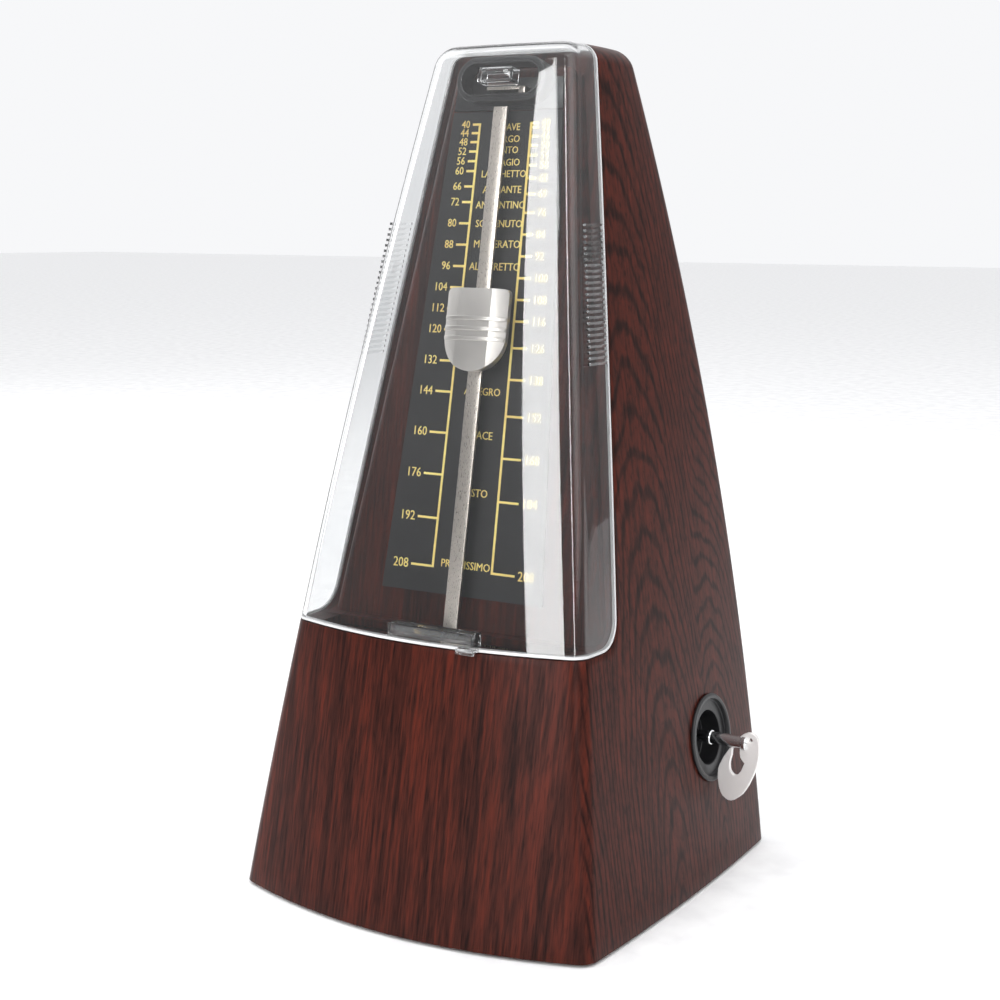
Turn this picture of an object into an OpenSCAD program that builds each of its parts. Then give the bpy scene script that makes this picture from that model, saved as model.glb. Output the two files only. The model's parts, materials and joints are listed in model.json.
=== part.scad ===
// Wind-up pendulum metronome: a tapered case with a clear front cover, a swinging rod with a
// sliding weight in front of a tempo scale, and spring-driven clockwork inside.
// The origin is the middle of the footprint on the surface it stands on. X is to the right
// as the scale is read, Y to the back and Z up.

/* [Case] */
// Height from the table to the top of the case
case_h = 203; // [180:1:250]
// Width of the case at its foot
base_w = 100; // [95:1:125]
// Width of the case at its top
top_w = 40; // [38:1:50]
// Depth of the case at its foot
base_d = 108; // [104:1:130]
// Distance from the centre line to the front of the top
top_front = 6.6; // [6.4:0.1:8]
// Distance from the centre line to the back of the top
top_back = 26.9; // [24:0.1:34]
// Outward swell of the side walls half-way up, as a share of their taper
side_swell = 0.12; // [0:0.01:0.2]
// Outward swell of the front wall
front_swell = 0.23; // [0:0.01:0.3]
// Outward swell of the back wall
back_swell = 1.3; // [1:0.05:1.4]
// How far the front bows out at the foot
front_bow = 8.5; // [4:0.5:10]
// Radius of the upright corners at the foot
foot_corner_r = 4.5; // [3:0.5:8]
// Radius of the upright corners at the top
top_corner_r = 5.5; // [4:0.5:7]
// Radius of the rounded edge around the top
top_edge_r = 4.5; // [3:0.5:5]
// Wall thickness of the case
case_wall = 2.2; // [1.8:0.1:2.6]
// Height of the rim of the case above the table
rim_z = 0.8; // [0.5:0.1:1.2]

/* [Front cover] */
// Height of the sill that the cover stands on
sill_z = 65.3; // [60:0.5:72]
// Wall thickness of the clear cover
cover_wall = 1.5; // [1.2:0.1:1.8]
// Gap between the cover and the case
cover_gap = 0.35; // [0.3:0.05:0.5]
// Radius of the lower rear corner of the cover, seen from the side
cover_corner_r = 8; // [5:0.5:10]
// Furthest tilt of the cover, in degrees
cover_tilt_max = 40; // [20:1:60]

/* [Scale] */
// Lean of the scale and of the pendulum, in degrees
lean = 10.1; // [8:0.1:11]
// How far the panel stands in front of the joint between the case and its cover
panel_proud = 3.8; // [3:0.1:4.5]
// Lowest edge of the scale plate
plate_low_z = 73.2; // [70:0.5:78]
// Highest edge of the scale plate
plate_high_z = 187; // [184:0.5:190]
// Half the width of the scale plate at its lowest edge
plate_low_x = 22.4; // [20:0.1:24]
// Half the width of the scale plate at its highest edge
plate_high_x = 14.9; // [14:0.1:16]
// Thickness of the scale plate
plate_t = 0.8; // [0.6:0.1:1]
// Distance of each scale line from the centre line at its lowest mark
scale_line_x = 8.3; // [7:0.1:9]
// Distance of each scale line from the centre line at its highest mark
scale_line_top_x = 7.1; // [6.5:0.1:8]
// Length of the lowest tick
tick_low = 6.2; // [4:0.1:7]
// Length of the highest tick
tick_high = 2; // [1.5:0.1:4]
// Width of a printed line
print_w = 0.55; // [0.4:0.05:0.7]
// Height that the print stands above the plate
print_t = 0.15; // [0.1:0.05:0.2]

/* [Pendulum] */
// Height of the pendulum's pivot
pivot_z = 52; // [50:0.5:53]
// Distance of the pivot in front of the centre line, at the middle of the rod
pivot_front = 28.7; // [28:0.1:30]
// Distance from the middle of the rod to the face of the panel
rod_gap = 3.4; // [3:0.1:3.6]
// Width of the rod
rod_w = 3.8; // [3:0.1:4.4]
// Thickness of the rod
rod_t = 0.8; // [0.6:0.1:1]
// Height of the tip of the rod
rod_tip_z = 188; // [184:0.5:189]
// Height of the middle of the sliding weight at rest
weight_z = 135.6; // [120:0.1:150]
// Width of the sliding weight
weight_w = 16.8; // [14:0.1:18]
// Length of the sliding weight
weight_l = 19.6; // [16:0.1:22]
// Thickness of the metal body of the sliding weight
weight_t = 2.6; // [2:0.1:2.8]
// Radius of the counterweight
bob_r = 13; // [10:0.5:13]
// Thickness of the counterweight
bob_t = 15; // [8:0.5:16]
// Distance of the counterweight below the pivot
bob_drop = 24; // [22:0.5:26]

/* [Clockwork] */
// Distance of the winding axis behind the centre line
key_y = 22; // [21:0.1:23]
// Height of the winding axis
key_z = 35; // [34:0.1:36]
// Inner face of the left frame plate, left of the centre line
left_plate_x = 16; // [15:0.5:18]
// Inner face of the right frame plate
right_plate_x = 14; // [14:0.5:16]
// Thickness of a frame plate
plate_thick = 1.5; // [1.2:0.1:2]
// Teeth of the great wheel
great_teeth = 64; // [60:1:66]
// Module of the great wheel and its pinion
great_module = 0.6; // [0.58:0.01:0.62]
// Teeth of each pinion
pinion_teeth = 12; // [12:1:13]
// Teeth of the intermediate wheel
middle_teeth = 42; // [40:1:44]
// Module of the intermediate wheel and its pinion
middle_module = 0.5; // [0.48:0.01:0.52]
// Teeth of the crown wheel
crown_teeth = 15; // [13:2:17]
// Radius of the crown wheel
crown_r = 7; // [6.5:0.1:7.2]
// Distance of the crown wheel behind the rod
crown_back = 20; // [19:0.5:21]
// Outer radius of the spring barrel
barrel_r = 15; // [13:0.5:15.5]
// Length of the spring barrel
barrel_l = 16; // [12:0.5:17]
// Radial clearance of a pivot in its bush
pivot_play = 0.05; // [0.03:0.01:0.1]

/* [Key] */
// Radius of the round bezel
bezel_r = 10.8; // [10:0.1:13]
// Radius of the key's shaft
key_shaft_r = 1.35; // [1.2:0.05:1.8]
// How far the key's shaft stands out of the side of the case
key_out = 10.2; // [8.8:0.1:14]
// Thickness of the key's finger plate
key_plate_t = 1.1; // [0.8:0.1:1.4]
// Height of the key's finger plate
key_plate_h = 18; // [16:0.2:20]
// Width of the key's finger plate
key_plate_w = 10.8; // [8:0.2:11]

/* [Hidden] */
$fn = 48;

// Case outline. drop is 0 at the top and 1 at the foot.
function drop(z) = (case_h - z) / case_h;
function spread(t, swell) = t * (1 + swell * (1 - t));
function side_x(z) = top_w / 2 + (base_w - top_w) / 2 * spread(drop(z), side_swell);
function front_y(z) = -top_front - (base_d / 2 - top_front) * spread(drop(z), front_swell);
function back_y(z) = top_back + (base_d / 2 - top_back) * spread(drop(z), back_swell);
function corner_r(z) = top_corner_r + (foot_corner_r - top_corner_r) * drop(z);
function small_bow(z) = 0.6 + 0.8 * drop(z);

front_steps = 8;
side_steps = 4;
arc_steps = 4;

// One side of a section: the bowed front or back edge with an arc at each end, ending
// where the side walls begin. way is -1 for the front and 1 for the back.
function edge_points(half, mid, bow, r, side_tilt, way) =
    let (
        flat = half - r,
        slope = atan(2 * bow / flat),
        end_x = half - r * cos(side_tilt) + r * sin(slope),
        end_y = mid - way * bow,
        arc_x = end_x - r * sin(slope),
        arc_y = end_y - way * r * cos(slope)
    )
    concat(
        [for (i = [arc_steps:-1:1])
            let (a = -90 + slope + (90 - slope - side_tilt) * i / arc_steps)
            [-arc_x - r * cos(a), arc_y - way * r * sin(a)]],
        [for (i = [0:front_steps])
            let (u = -1 + 2 * i / front_steps) [u * end_x, mid - way * bow * u * u]],
        [for (i = [1:arc_steps])
            let (a = -90 + slope + (90 - slope - side_tilt) * i / arc_steps)
            [arc_x + r * cos(a), arc_y - way * r * sin(a)]]
    );

// The side wall between two edges, without its ends.
function wall_points(from, to, bow) = [
    for (i = [1:side_steps - 1])
        let (v = i / side_steps, w = 2 * v - 1)
        [from.x + (to.x - from.x) * v + sign(from.x) * bow * (1 - w * w),
         from.y + (to.y - from.y) * v]
];

// Outline of the case at height z, moved inwards by inset.
function section(z, inset) =
    let (
        r = max(corner_r(z) - inset, 0.8),
        side_bow = small_bow(z),
        half = side_x(z) - inset - side_bow,
        deep = back_y(z) - front_y(z),
        side_tilt = atan(4 * side_bow / deep),
        bow = (front_bow - 1) * drop(z) + 0.8,
        front = edge_points(half, front_y(z) + inset, bow, r, side_tilt, -1),
        back_row = edge_points(half, back_y(z) - inset, small_bow(z), r, side_tilt, 1),
        back = [for (i = [len(back_row) - 1:-1:0]) back_row[i]],
        last = len(front) - 1
    )
    concat(front, wall_points(front[last], back[0], side_bow),
           back, wall_points(back[last], front[0], side_bow));

// Inset that rounds the edge around the top of a body whose top is at top_z.
function round_off(z, top_z, r) =
    let (up = max(z - (top_z - r), 0)) r - sqrt(max(r * r - up * up, 0));

// Heights of the sections, from low to high, closer together round the top edge.
function levels(low, top_z, r) = concat(
    [for (i = [0:8]) low + (top_z - r - low) * i / 8],
    [for (a = [30, 55, 75, 88]) top_z - r + r * sin(a)]
);

// Solid skinned over a list of outlines that all have the same number of points.
module skin(rows) {
    count = len(rows[0]);
    last = len(rows) - 1;
    points = [for (row = rows) each row];
    sides = [for (k = [0:last - 1]) for (i = [0:count - 1])
        let (j = (i + 1) % count, a = k * count, b = a + count)
        each [[a + i, b + i, b + j], [a + i, b + j, a + j]]];
    floor_face = [[for (i = [0:count - 1]) i]];
    roof_face = [[for (i = [count - 1:-1:0]) last * count + i]];
    polyhedron(points, concat(sides, floor_face, roof_face), convexity = 6);
}

// The case's outer form, shrunk by inset, from the height low upwards.
module tapered_body(inset, low) {
    top_z = case_h - inset;
    edge = top_edge_r - min(inset, top_edge_r - 2);
    skin([for (z = levels(low, top_z, edge))
        [for (p = section(z, inset + round_off(z, top_z, edge))) [p.x, p.y, z]]]);
}

// Side view of the space that the cover takes, moved back and down by grow.
function rod_y(z) = (z - pivot_z) * tan(lean) - pivot_front;
joint_back = (rod_gap + panel_proud) / cos(lean);
function joint_y(z) = rod_y(z) + joint_back;
function cover_zone(grow) =
    let (
        low = sill_z - grow,
        r = cover_corner_r + grow,
        back = joint_y(low) + grow / cos(lean),
        run = r / tan((90 + lean) / 2),
        high = case_h + 20,
        centre = [back + run * sin(lean) - r * cos(lean), low + run * cos(lean) + r * sin(lean)]
    )
    concat(
        [[-base_d, high], [-base_d, low]],
        [for (i = [6:-1:0]) let (a = -lean - (90 - lean) * i / 6)
            [centre.x + r * cos(a), centre.y + r * sin(a)]],
        [[joint_y(high) + grow / cos(lean), high]]
    );

module along_x(width) rotate([90, 0, 90]) linear_extrude(width, center = true) children();

// The pendulum's own frame: z runs up the rod, y to the back, the pivot is at its origin.
module swing_frame() translate([0, -pivot_front, pivot_z]) rotate([-lean, 0, 0]) children();

// Distance along the rod of a point at height z on the rod's plane.
function along_rod(z) = (z - pivot_z) / cos(lean);

// Distance along the swing frame of a point at height z on the panel's face.
function along_panel(z) = (z - pivot_z + rod_gap * sin(lean)) / cos(lean);

// A place on an axis that runs along X through a point of the side view.
module on_axis(p, x) translate([x, p[0], p[1]]) rotate([0, 90, 0]) children();
function turn_to(a, b) = atan2(b[0] - a[0], a[1] - b[1]);

// ---- Clockwork layout, in the side view (y, z) ----
winding_axis = [key_y, key_z];
escape_axis = [-pivot_front + crown_back * cos(lean), pivot_z - crown_back * sin(lean)];
great_r = great_teeth * great_module / 2;
great_pinion_r = pinion_teeth * great_module / 2;
middle_r = middle_teeth * middle_module / 2;
middle_pinion_r = pinion_teeth * middle_module / 2;
great_reach = great_r + great_pinion_r;
middle_reach = middle_r + middle_pinion_r;
axis_gap = norm(escape_axis - winding_axis);
axis_way = (escape_axis - winding_axis) / axis_gap;
along_gap = (axis_gap * axis_gap + great_reach * great_reach - middle_reach * middle_reach)
    / (2 * axis_gap);
beside_gap = sqrt(great_reach * great_reach - along_gap * along_gap);
middle_axis = winding_axis + along_gap * axis_way
    - beside_gap * [axis_way[1], -axis_way[0]];
great_x = 5;
great_t = 1.2;
middle_x = 9;
middle_t = 1;
barrel_x = great_x - barrel_l;
arbor_r = 2.4;
thin_arbor_r = 0.9;
pivot_r = 0.5;
bush_r = 1.5;
outer_right_x = right_plate_x + plate_thick;
outer_left_x = -left_plate_x - plate_thick;
ratchet_x = outer_right_x + 0.6;
ratchet_t = 1.5;
ratchet_r = 7;
ratchet_teeth = 24;
plate_front_y = -24;
plate_rear_y = 43;
plate_low = 7;
plate_high = 60;
pillar_spots = [[-20, 12], [-20, 30], [39, 12], [30, 56]];
pillar_r = 2;
potence_front = 5;
potence_rear = 31;
potence_t = 1.5;
potence_h = 9;
potence_reach = 3.8;
crown_x = 5.4;
crown_disc_t = 0.8;
crown_tip_x = 2.2;
pallet_gap = 0.6;

// ---- Pieces of the case ----
base_t = 2.4;
base_z = 2.2;
base_inset = case_wall + 0.3;
boss_x = base_w / 2 - 14.5;
boss_front_y = 22 - base_d / 2;
boss_rear_y = base_d / 2 - 14;
boss_spots = [[-boss_x, boss_front_y], [boss_x, boss_front_y],
    [-boss_x, boss_rear_y], [boss_x, boss_rear_y]];
boss_r = 4;
boss_h = 12;
boss_rib_l = 20;
boss_rib_t = 2;
screw_r = 1.5;
screw_head_r = 2.8;
slot_half = side_x(sill_z) - 8.1;
slot_depth = 6;
slot_front = 33.5;
slot_rear = 24.2;

module case_bosses() {
    intersection() {
        tapered_body(case_wall / 2, rim_z);
        union() {
            for (p = boss_spots) {
                translate([p.x, p.y, base_z + base_t]) cylinder(h = boss_h, r = boss_r);
                translate([p.x > 0 ? p.x : p.x - boss_rib_l, p.y - boss_rib_t / 2,
                    base_z + base_t]) cube([boss_rib_l, boss_rib_t, boss_h]);
            }
        }
    }
}

module case_shell() {
    color("#4a1c16") difference() {
        union() {
            difference() {
                tapered_body(0, rim_z);
                along_x(base_w + 20) polygon(cover_zone(0));
                difference() {
                    tapered_body(case_wall, -1);
                    along_x(base_w + 20) polygon(cover_zone(case_wall));
                }
            }
            case_bosses();
        }
        for (p = boss_spots)
            translate([p.x, p.y, 0]) cylinder(h = base_z + boss_h, r = screw_r - 0.2);
        bezel_frame() translate([0, 0, -6]) cylinder(h = 12, r = bezel_r - 1.2);
        translate([-slot_half, -slot_front, sill_z - slot_depth])
            cube([2 * slot_half, slot_front - slot_rear, 2 * slot_depth]);
    }
}

panel_low = sill_z + 0.05;
panel_high = case_h - 5.2;
panel_round = 2.6;
function panel_half(z) = side_x(z) - cover_wall - 2.6;

module front_panel() {
    depth = panel_proud;
    steps = 5;
    low = along_panel(panel_low);
    high = along_panel(panel_high);
    corner = 3;
    function outline(inset) = [
        [-panel_half(panel_low) + inset, low], [panel_half(panel_low) - inset, low],
        [panel_half(panel_high) - inset, high - inset - corner],
        [panel_half(panel_high) - inset - corner, high - inset],
        [-panel_half(panel_high) + inset + corner, high - inset],
        [-panel_half(panel_high) + inset, high - inset - corner]
    ];
    color("#4a1c16") intersection() {
        swing_frame() skin(concat(
            [[for (p = outline(0)) [p.x, rod_gap + depth, p.y]]],
            [for (i = [0:steps])
                let (a = 90 * i / steps, inset = panel_round * (1 - cos(a)),
                     y = rod_gap + panel_round * (1 - sin(a)))
                [for (p = outline(inset)) [p.x, y, p.y]]]
        ));
        along_x(base_w) polygon(cover_zone(-0.05));
    }
}

module base_plate() {
    color("#1b1b1d") difference() {
        translate([0, 0, base_z]) linear_extrude(base_t)
            polygon(section(base_z + base_t, base_inset));
        for (p = boss_spots) translate([p.x, p.y, 0]) {
            cylinder(h = 10, r = screw_r + 0.2);
            cylinder(h = base_z + 1.2, r = screw_head_r + 0.3);
        }
        for (p = bracket_spots) translate([p.x, p.y, 0]) cylinder(h = 10, r = 1.1);
    }
}

foot_front_y = 13.5 - base_d / 2;
foot_rear_y = base_d / 2 - 5;
foot_side_x = base_w / 2 - 6.5;
foot_ring_w = 3.5;
foot_corner = 9;
module rounded_slab(half_w, half_d, r, height) {
    linear_extrude(height) {
        square([2 * half_w, 2 * (half_d - r)], center = true);
        square([2 * (half_w - r), 2 * half_d], center = true);
        for (x = [-1, 1]) for (y = [-1, 1])
            translate([x * (half_w - r), y * (half_d - r)]) circle(r);
    }
}

module foot_ring() {
    half_d = (foot_rear_y - foot_front_y) / 2;
    color("#2a2a2a") translate([0, (foot_front_y + foot_rear_y) / 2, 0]) difference() {
        rounded_slab(foot_side_x, half_d, foot_corner, base_z);
        translate([0, 0, -1]) rounded_slab(foot_side_x - foot_ring_w,
            half_d - foot_ring_w, foot_corner - foot_ring_w, base_z + 2);
    }
}

module base_screws() {
    color("silver") for (p = boss_spots) translate([p.x, p.y, base_z + 0.2]) {
        cylinder(h = 1, r = screw_head_r);
        cylinder(h = 10, r = screw_r - 0.25);
    }
}

tab_w = 23.4;
tab_x = 2.6;
tab_h = 3.4;
tab_front = -front_y(sill_z) - 0.6;
tab_rear = 35.2;
tab_pocket = 39;
tab_wall = 0.8;
top_tab_w = 9.2;
top_tab_h = 3.6;
top_tab_z = case_h - 10.2;
top_tab_reach = (rod_y(top_tab_z) - front_y(top_tab_z)) * cos(lean) - 0.2;
module cover_tabs() {
    run = tab_front - tab_rear;
    translate([tab_x - tab_w / 2, -tab_front, sill_z + cover_gap]) difference() {
        cube([tab_w, run, tab_h]);
        translate([tab_wall, tab_front - tab_pocket, tab_wall])
            cube([tab_w - 2 * tab_wall, tab_pocket - tab_rear - tab_wall, tab_h]);
    }
    swing_frame() translate([-top_tab_w / 2, -top_tab_reach, along_rod(top_tab_z)])
        difference() {
            cube([top_tab_w, top_tab_reach - 0.6, top_tab_h]);
            translate([tab_wall, cover_wall + 1.2, tab_wall])
                cube([top_tab_w - 2 * tab_wall, top_tab_reach, top_tab_h - 2 * tab_wall]);
        }
}

grip_count = 25;
grip_low_z = 129.5;
grip_pitch = 1.3;
grip_w = 9;
module front_cover() {
    color([0.92, 0.95, 0.97, 0.35]) difference() {
        intersection() {
            union() {
                difference() {
                    tapered_body(0, rim_z);
                    tapered_body(cover_wall, -1);
                }
                cover_tabs();
            }
            along_x(base_w + 20) polygon(cover_zone(-cover_gap));
            tapered_body(0, rim_z);
        }
        for (i = [0:grip_count - 1]) for (side = [-1, 1])
            let (z = grip_low_z + i * grip_pitch)
            translate([side * side_x(z), joint_y(z) - grip_w / 2 - 2, z])
                cube([0.5, grip_w, 0.5], center = true);
    }
}

// ---- Scale ----
module panel_sheet(front, thick) {
    swing_frame() translate([0, rod_gap - front, 0]) rotate([90, 0, 0])
        linear_extrude(thick) children();
}

module scale_plate() {
    low = along_panel(plate_low_z);
    high = along_panel(plate_high_z);
    color("#141414") panel_sheet(0, plate_t) polygon([
        [-plate_low_x, low], [plate_low_x, low], [plate_high_x, high], [-plate_high_x, high]
    ]);
}

left_tempos = [40, 44, 48, 52, 56, 60, 66, 72, 80, 88, 96, 104, 112, 120, 132, 144, 160,
    176, 192, 208];
right_tempos = [40, 42, 46, 50, 54, 58, 63, 69, 76, 84, 92, 100, 108, 116, 126, 138, 152,
    168, 184, 208];
// Height of the mark for a tempo, from the law of a pendulum with a counterweight:
// the rate squared falls as the moment of the weight and its inertia grow.
gravity = 9810;
moment_term = 133.98;
inertia_term = 9148.7;
mark_base_z = 60.3;
mark_spread = 1.021;
function rate(tempo) = pow(PI * tempo / 60, 2);
function mark_reach(tempo) = let (k = rate(tempo))
    (sqrt(gravity * gravity + 4 * k * (gravity * moment_term - k * inertia_term)) - gravity)
    / (2 * k);
function mark_z(tempo) = mark_base_z + mark_spread * mark_reach(tempo) * cos(lean);
fastest = 208;
slowest = 40;
function mark_share(tempo) = (mark_z(tempo) - mark_z(fastest)) / (mark_z(slowest) - mark_z(fastest));
function line_x(tempo) = scale_line_x + (scale_line_top_x - scale_line_x) * mark_share(tempo);
function tick_l(tempo) = tick_low + (tick_high - tick_low) * mark_share(tempo);

module scale_marks() {
    low = along_panel(mark_z(fastest)) - print_w / 2;
    high = along_panel(mark_z(slowest)) + print_w / 2;
    color("#d9c45a") panel_sheet(plate_t, print_t) for (side = [-1, 1]) {
        polygon([
            [side * line_x(fastest) - print_w / 2, low], [side * line_x(fastest) + print_w / 2, low],
            [side * line_x(slowest) + print_w / 2, high], [side * line_x(slowest) - print_w / 2, high]
        ]);
        for (tempo = side < 0 ? left_tempos : right_tempos)
            translate([side < 0 ? -line_x(tempo) - tick_l(tempo) : line_x(tempo),
                along_panel(mark_z(tempo)) - print_w / 2]) square([tick_l(tempo), print_w]);
    }
}

// ---- Hood that shelters the tip of the rod ----
hood_w = 24.4;
hood_low_z = case_h - 14.6;
hood_h = 10.6;
hood_deep = 4.2;
hood_wall = 1.7;
module stadium(width, height) {
    square([width - height, height], center = true);
    for (side = [-1, 1]) translate([side * (width - height) / 2, 0]) circle(height / 2);
}

module rod_rest_hood() {
    middle = along_panel(hood_low_z) + hood_h / 2;
    low = along_panel(plate_high_z) + 0.05;
    high = along_panel(panel_high) - panel_round - 0.4;
    color("#101012") {
        panel_sheet(0, plate_t) polygon([
            [-plate_high_x, low], [plate_high_x, low],
            [plate_high_x - 0.6, high], [-plate_high_x + 0.6, high]
        ]);
        panel_sheet(plate_t - 0.01, hood_deep) difference() {
            translate([0, middle]) stadium(hood_w, hood_h);
            translate([0, middle]) stadium(hood_w - 2 * hood_wall, hood_h - 2 * hood_wall);
        }
    }
}

leaf_rise = 1.4;
leaf_w = 10.6;
leaf_deep = 2.6;
leaf_t = 0.8;
module rod_rest_spring() {
    bottom = along_panel(hood_low_z) + hood_wall + leaf_rise;
    color("silver") swing_frame()
        translate([-4.6, rod_gap - plate_t - leaf_deep, bottom]) difference() {
            cube([leaf_w, leaf_deep, leaf_t]);
            translate([leaf_w - 1.4, -1, -1]) cube([2, 1.6, leaf_t + 2]);
        }
}

// ---- Key and its bezel ----
case_side = side_x(key_z);
key_reach = case_side + key_out;
side_lean = atan((side_x(key_z - bezel_r) - side_x(key_z + bezel_r)) / (2 * bezel_r));

// The outside of the case wall at the key: z points out of the wall.
module bezel_frame() translate([case_side, key_y, key_z]) rotate([0, 90 - side_lean, 0])
    children();

module key_bezel() {
    flange = 0.8;
    depth = 7;
    color("#161616") bezel_frame() difference() {
        union() {
            cylinder(h = flange, r = bezel_r);
            translate([0, 0, -depth]) cylinder(h = depth + 0.2, r = bezel_r - 1.3);
        }
        translate([0, 0, 1.6 - depth]) cylinder(h = 20, r = bezel_r - 3.2);
        translate([0, 0, -1.6]) cylinder(h = 20, r = bezel_r - 1.9);
        translate([0, 0, -1 - depth]) cylinder(h = 5, r = key_shaft_r + 1.4);
    }
}

module key_shaft() {
    start = ratchet_x + ratchet_t;
    color("#cfd2d6") {
        on_axis(winding_axis, start) cylinder(h = key_reach - start, r = key_shaft_r);
        on_axis(winding_axis, start) cylinder(h = 6, r = arbor_r + 0.6);
        on_axis(winding_axis, case_side + 0.6) cylinder(h = 1.2, r = key_shaft_r + 0.5);
    }
}

// Outline of the hooked finger plate as shares of its width and height, from its left edge
// and the key's axis: down the outer side from the top, then back up the inside of the hook.
hook = [
    [0.54, 0.09], [0.62, 0.13], [0.81, 0.16], [0.95, 0.1], [1, -0.03], [0.99, -0.19],
    [0.93, -0.35], [0.82, -0.51], [0.69, -0.66], [0.52, -0.78], [0.35, -0.84], [0.2, -0.82],
    [0.08, -0.74], [0.02, -0.61], [0, -0.48], [0.04, -0.35], [0.14, -0.23], [0.28, -0.1],
    [0.34, -0.11], [0.33, -0.2], [0.29, -0.3], [0.29, -0.38], [0.35, -0.45], [0.44, -0.47],
    [0.53, -0.43], [0.6, -0.36], [0.65, -0.28], [0.6, -0.25], [0.55, -0.21], [0.53, -0.09]
];
key_plate_x = case_side + 2.5;
module key_wing() {
    color("#c9ccd1") translate([key_plate_x, key_y, key_z]) rotate([90, 0, 0]) difference() {
        linear_extrude(key_plate_t, center = true)
            polygon([for (p = hook) [p.x * key_plate_w, p.y * key_plate_h]]);
        translate([-1, 0, 0]) rotate([0, 90, 0])
            cylinder(h = 1 + key_reach - key_plate_x, r = key_shaft_r);
    }
}

// ---- Movement frame ----
bush_axes = [winding_axis, middle_axis, escape_axis];
bracket_spots = [[-24, -11], [-24, 30], [22, -11], [22, 30]];
bracket_front = -15;
bracket_l = 49;

module frame_plate(x) {
    translate([x, 0, 0]) difference() {
        rotate([90, 0, 90]) linear_extrude(plate_thick) polygon([
            [plate_front_y, plate_low], [plate_rear_y, plate_low],
            [plate_rear_y, 44], [34, plate_high], [8, plate_high], [-14, plate_high - 2],
            [plate_front_y, 40]
        ]);
        for (p = pillar_spots) on_axis(p, -1) cylinder(h = 4, r = 1);
        on_axis(winding_axis, -1) cylinder(h = 4, r = arbor_r + 0.8);
        on_axis(middle_axis, -1) cylinder(h = 4, r = bush_r);
        on_axis(escape_axis, -1) cylinder(h = 4, r = bush_r);
    }
}

module left_frame_plate() color("#b9a36a") frame_plate(outer_left_x);
module right_frame_plate() color("#b9a36a") frame_plate(right_plate_x);

module frame_pillars() {
    color("#c2ab6c") for (p = pillar_spots) on_axis(p, -left_plate_x) difference() {
        cylinder(h = left_plate_x + right_plate_x, r = pillar_r);
        translate([0, 0, -1]) cylinder(h = 5, r = 0.9);
        translate([0, 0, left_plate_x + right_plate_x - 4]) cylinder(h = 5, r = 0.9);
    }
}

module pillar_screws() {
    color("silver") for (p = pillar_spots) {
        on_axis(p, outer_right_x) cylinder(h = 0.8, r = 1.8);
        on_axis(p, outer_right_x - 4.5) cylinder(h = 4.6, r = 0.85);
        on_axis(p, outer_left_x - 0.8) cylinder(h = 0.8, r = 1.8);
        on_axis(p, outer_left_x - 0.1) cylinder(h = 4.6, r = 0.85);
    }
}

// A cock on the left plate that carries one end of the pendulum's arbor.
module potence(back) {
    color("#b9a36a") swing_frame() translate([0, back, 0]) rotate([90, 0, 0])
        translate([0, 0, -potence_t]) linear_extrude(potence_t) difference() {
            translate([-left_plate_x, -potence_h / 2])
                square([left_plate_x + potence_reach, potence_h]);
            circle(bush_r);
        }
}
module front_potence() potence(potence_front);
module rear_potence() potence(potence_rear);

module mount_brackets() {
    color("#8d8f92") for (side = [-1, 1]) {
        x = side > 0 ? outer_right_x : outer_left_x - 1;
        outer = side > 0 ? outer_right_x : outer_left_x - 12;
        translate([x, bracket_front, base_z + base_t]) cube([1, bracket_l, 14]);
        difference() {
            translate([outer, bracket_front, base_z + base_t]) cube([12, bracket_l, 1]);
            for (p = bracket_spots) translate([p.x, p.y, 0]) cylinder(h = 10, r = 1.1);
        }
    }
}

module bracket_screws() {
    color("silver") for (p = bracket_spots) {
        translate([p.x, p.y, base_z + base_t + 1]) cylinder(h = 1, r = 2);
        translate([p.x, p.y, base_z]) cylinder(h = base_t + 1.5, r = 1);
    }
}

module bush(hole) difference() {
    cylinder(h = plate_thick, r = bush_r);
    translate([0, 0, -1]) cylinder(h = plate_thick + 2, r = hole);
}

module pivot_bushes() {
    color("#d0b060") {
        for (x = [outer_left_x, right_plate_x]) {
            on_axis(middle_axis, x) bush(pivot_r + pivot_play);
            on_axis(escape_axis, x) bush(pivot_r + pivot_play);
            on_axis(winding_axis, x) difference() {
                cylinder(h = plate_thick, r = arbor_r + 0.8);
                translate([0, 0, -1])
                    cylinder(h = plate_thick + 2, r = arbor_r + pivot_play);
            }
        }
        swing_frame() for (back = [potence_front, potence_rear])
            translate([0, back + potence_t, 0]) rotate([90, 0, 0])
                bush(thin_arbor_r + pivot_play);
    }
}

// ---- Winding work ----
module winding_arbor() {
    color("silver") on_axis(winding_axis, outer_left_x - 0.6)
        cylinder(h = ratchet_x + ratchet_t - outer_left_x + 0.6, r = arbor_r);
}

module ratchet_wheel() {
    color("#b7b9bc") on_axis(winding_axis, ratchet_x) linear_extrude(ratchet_t)
        difference() {
            polygon([for (i = [0:ratchet_teeth - 1]) let (a = 360 * i / ratchet_teeth)
                each [ratchet_r * [cos(a), sin(a)],
                      (ratchet_r - 1.1) * [cos(a + 0.8), sin(a + 0.8)]]]);
            circle(arbor_r);
        }
}

click_axis = winding_axis + [ratchet_r + 4.4, 3];
module click() {
    tip = [-3.7, -1.1];
    color("#c9a95a") on_axis(click_axis, ratchet_x) linear_extrude(ratchet_t)
        difference() {
            union() {
                circle(1.9);
                polygon([[-1, 1.6], [-1.5, -1.2], [tip[1] - 0.6, tip[0] - 0.1], [1.2, -1.6]]);
            }
            circle(1);
        }
}

module click_screw() {
    color("silver") {
        on_axis(click_axis, outer_right_x) cylinder(h = 0.6, r = 1.5);
        on_axis(click_axis, outer_right_x) cylinder(h = ratchet_t + 0.9, r = 0.9);
        on_axis(click_axis, ratchet_x + ratchet_t + 0.3) cylinder(h = 0.8, r = 1.8);
    }
}

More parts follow.
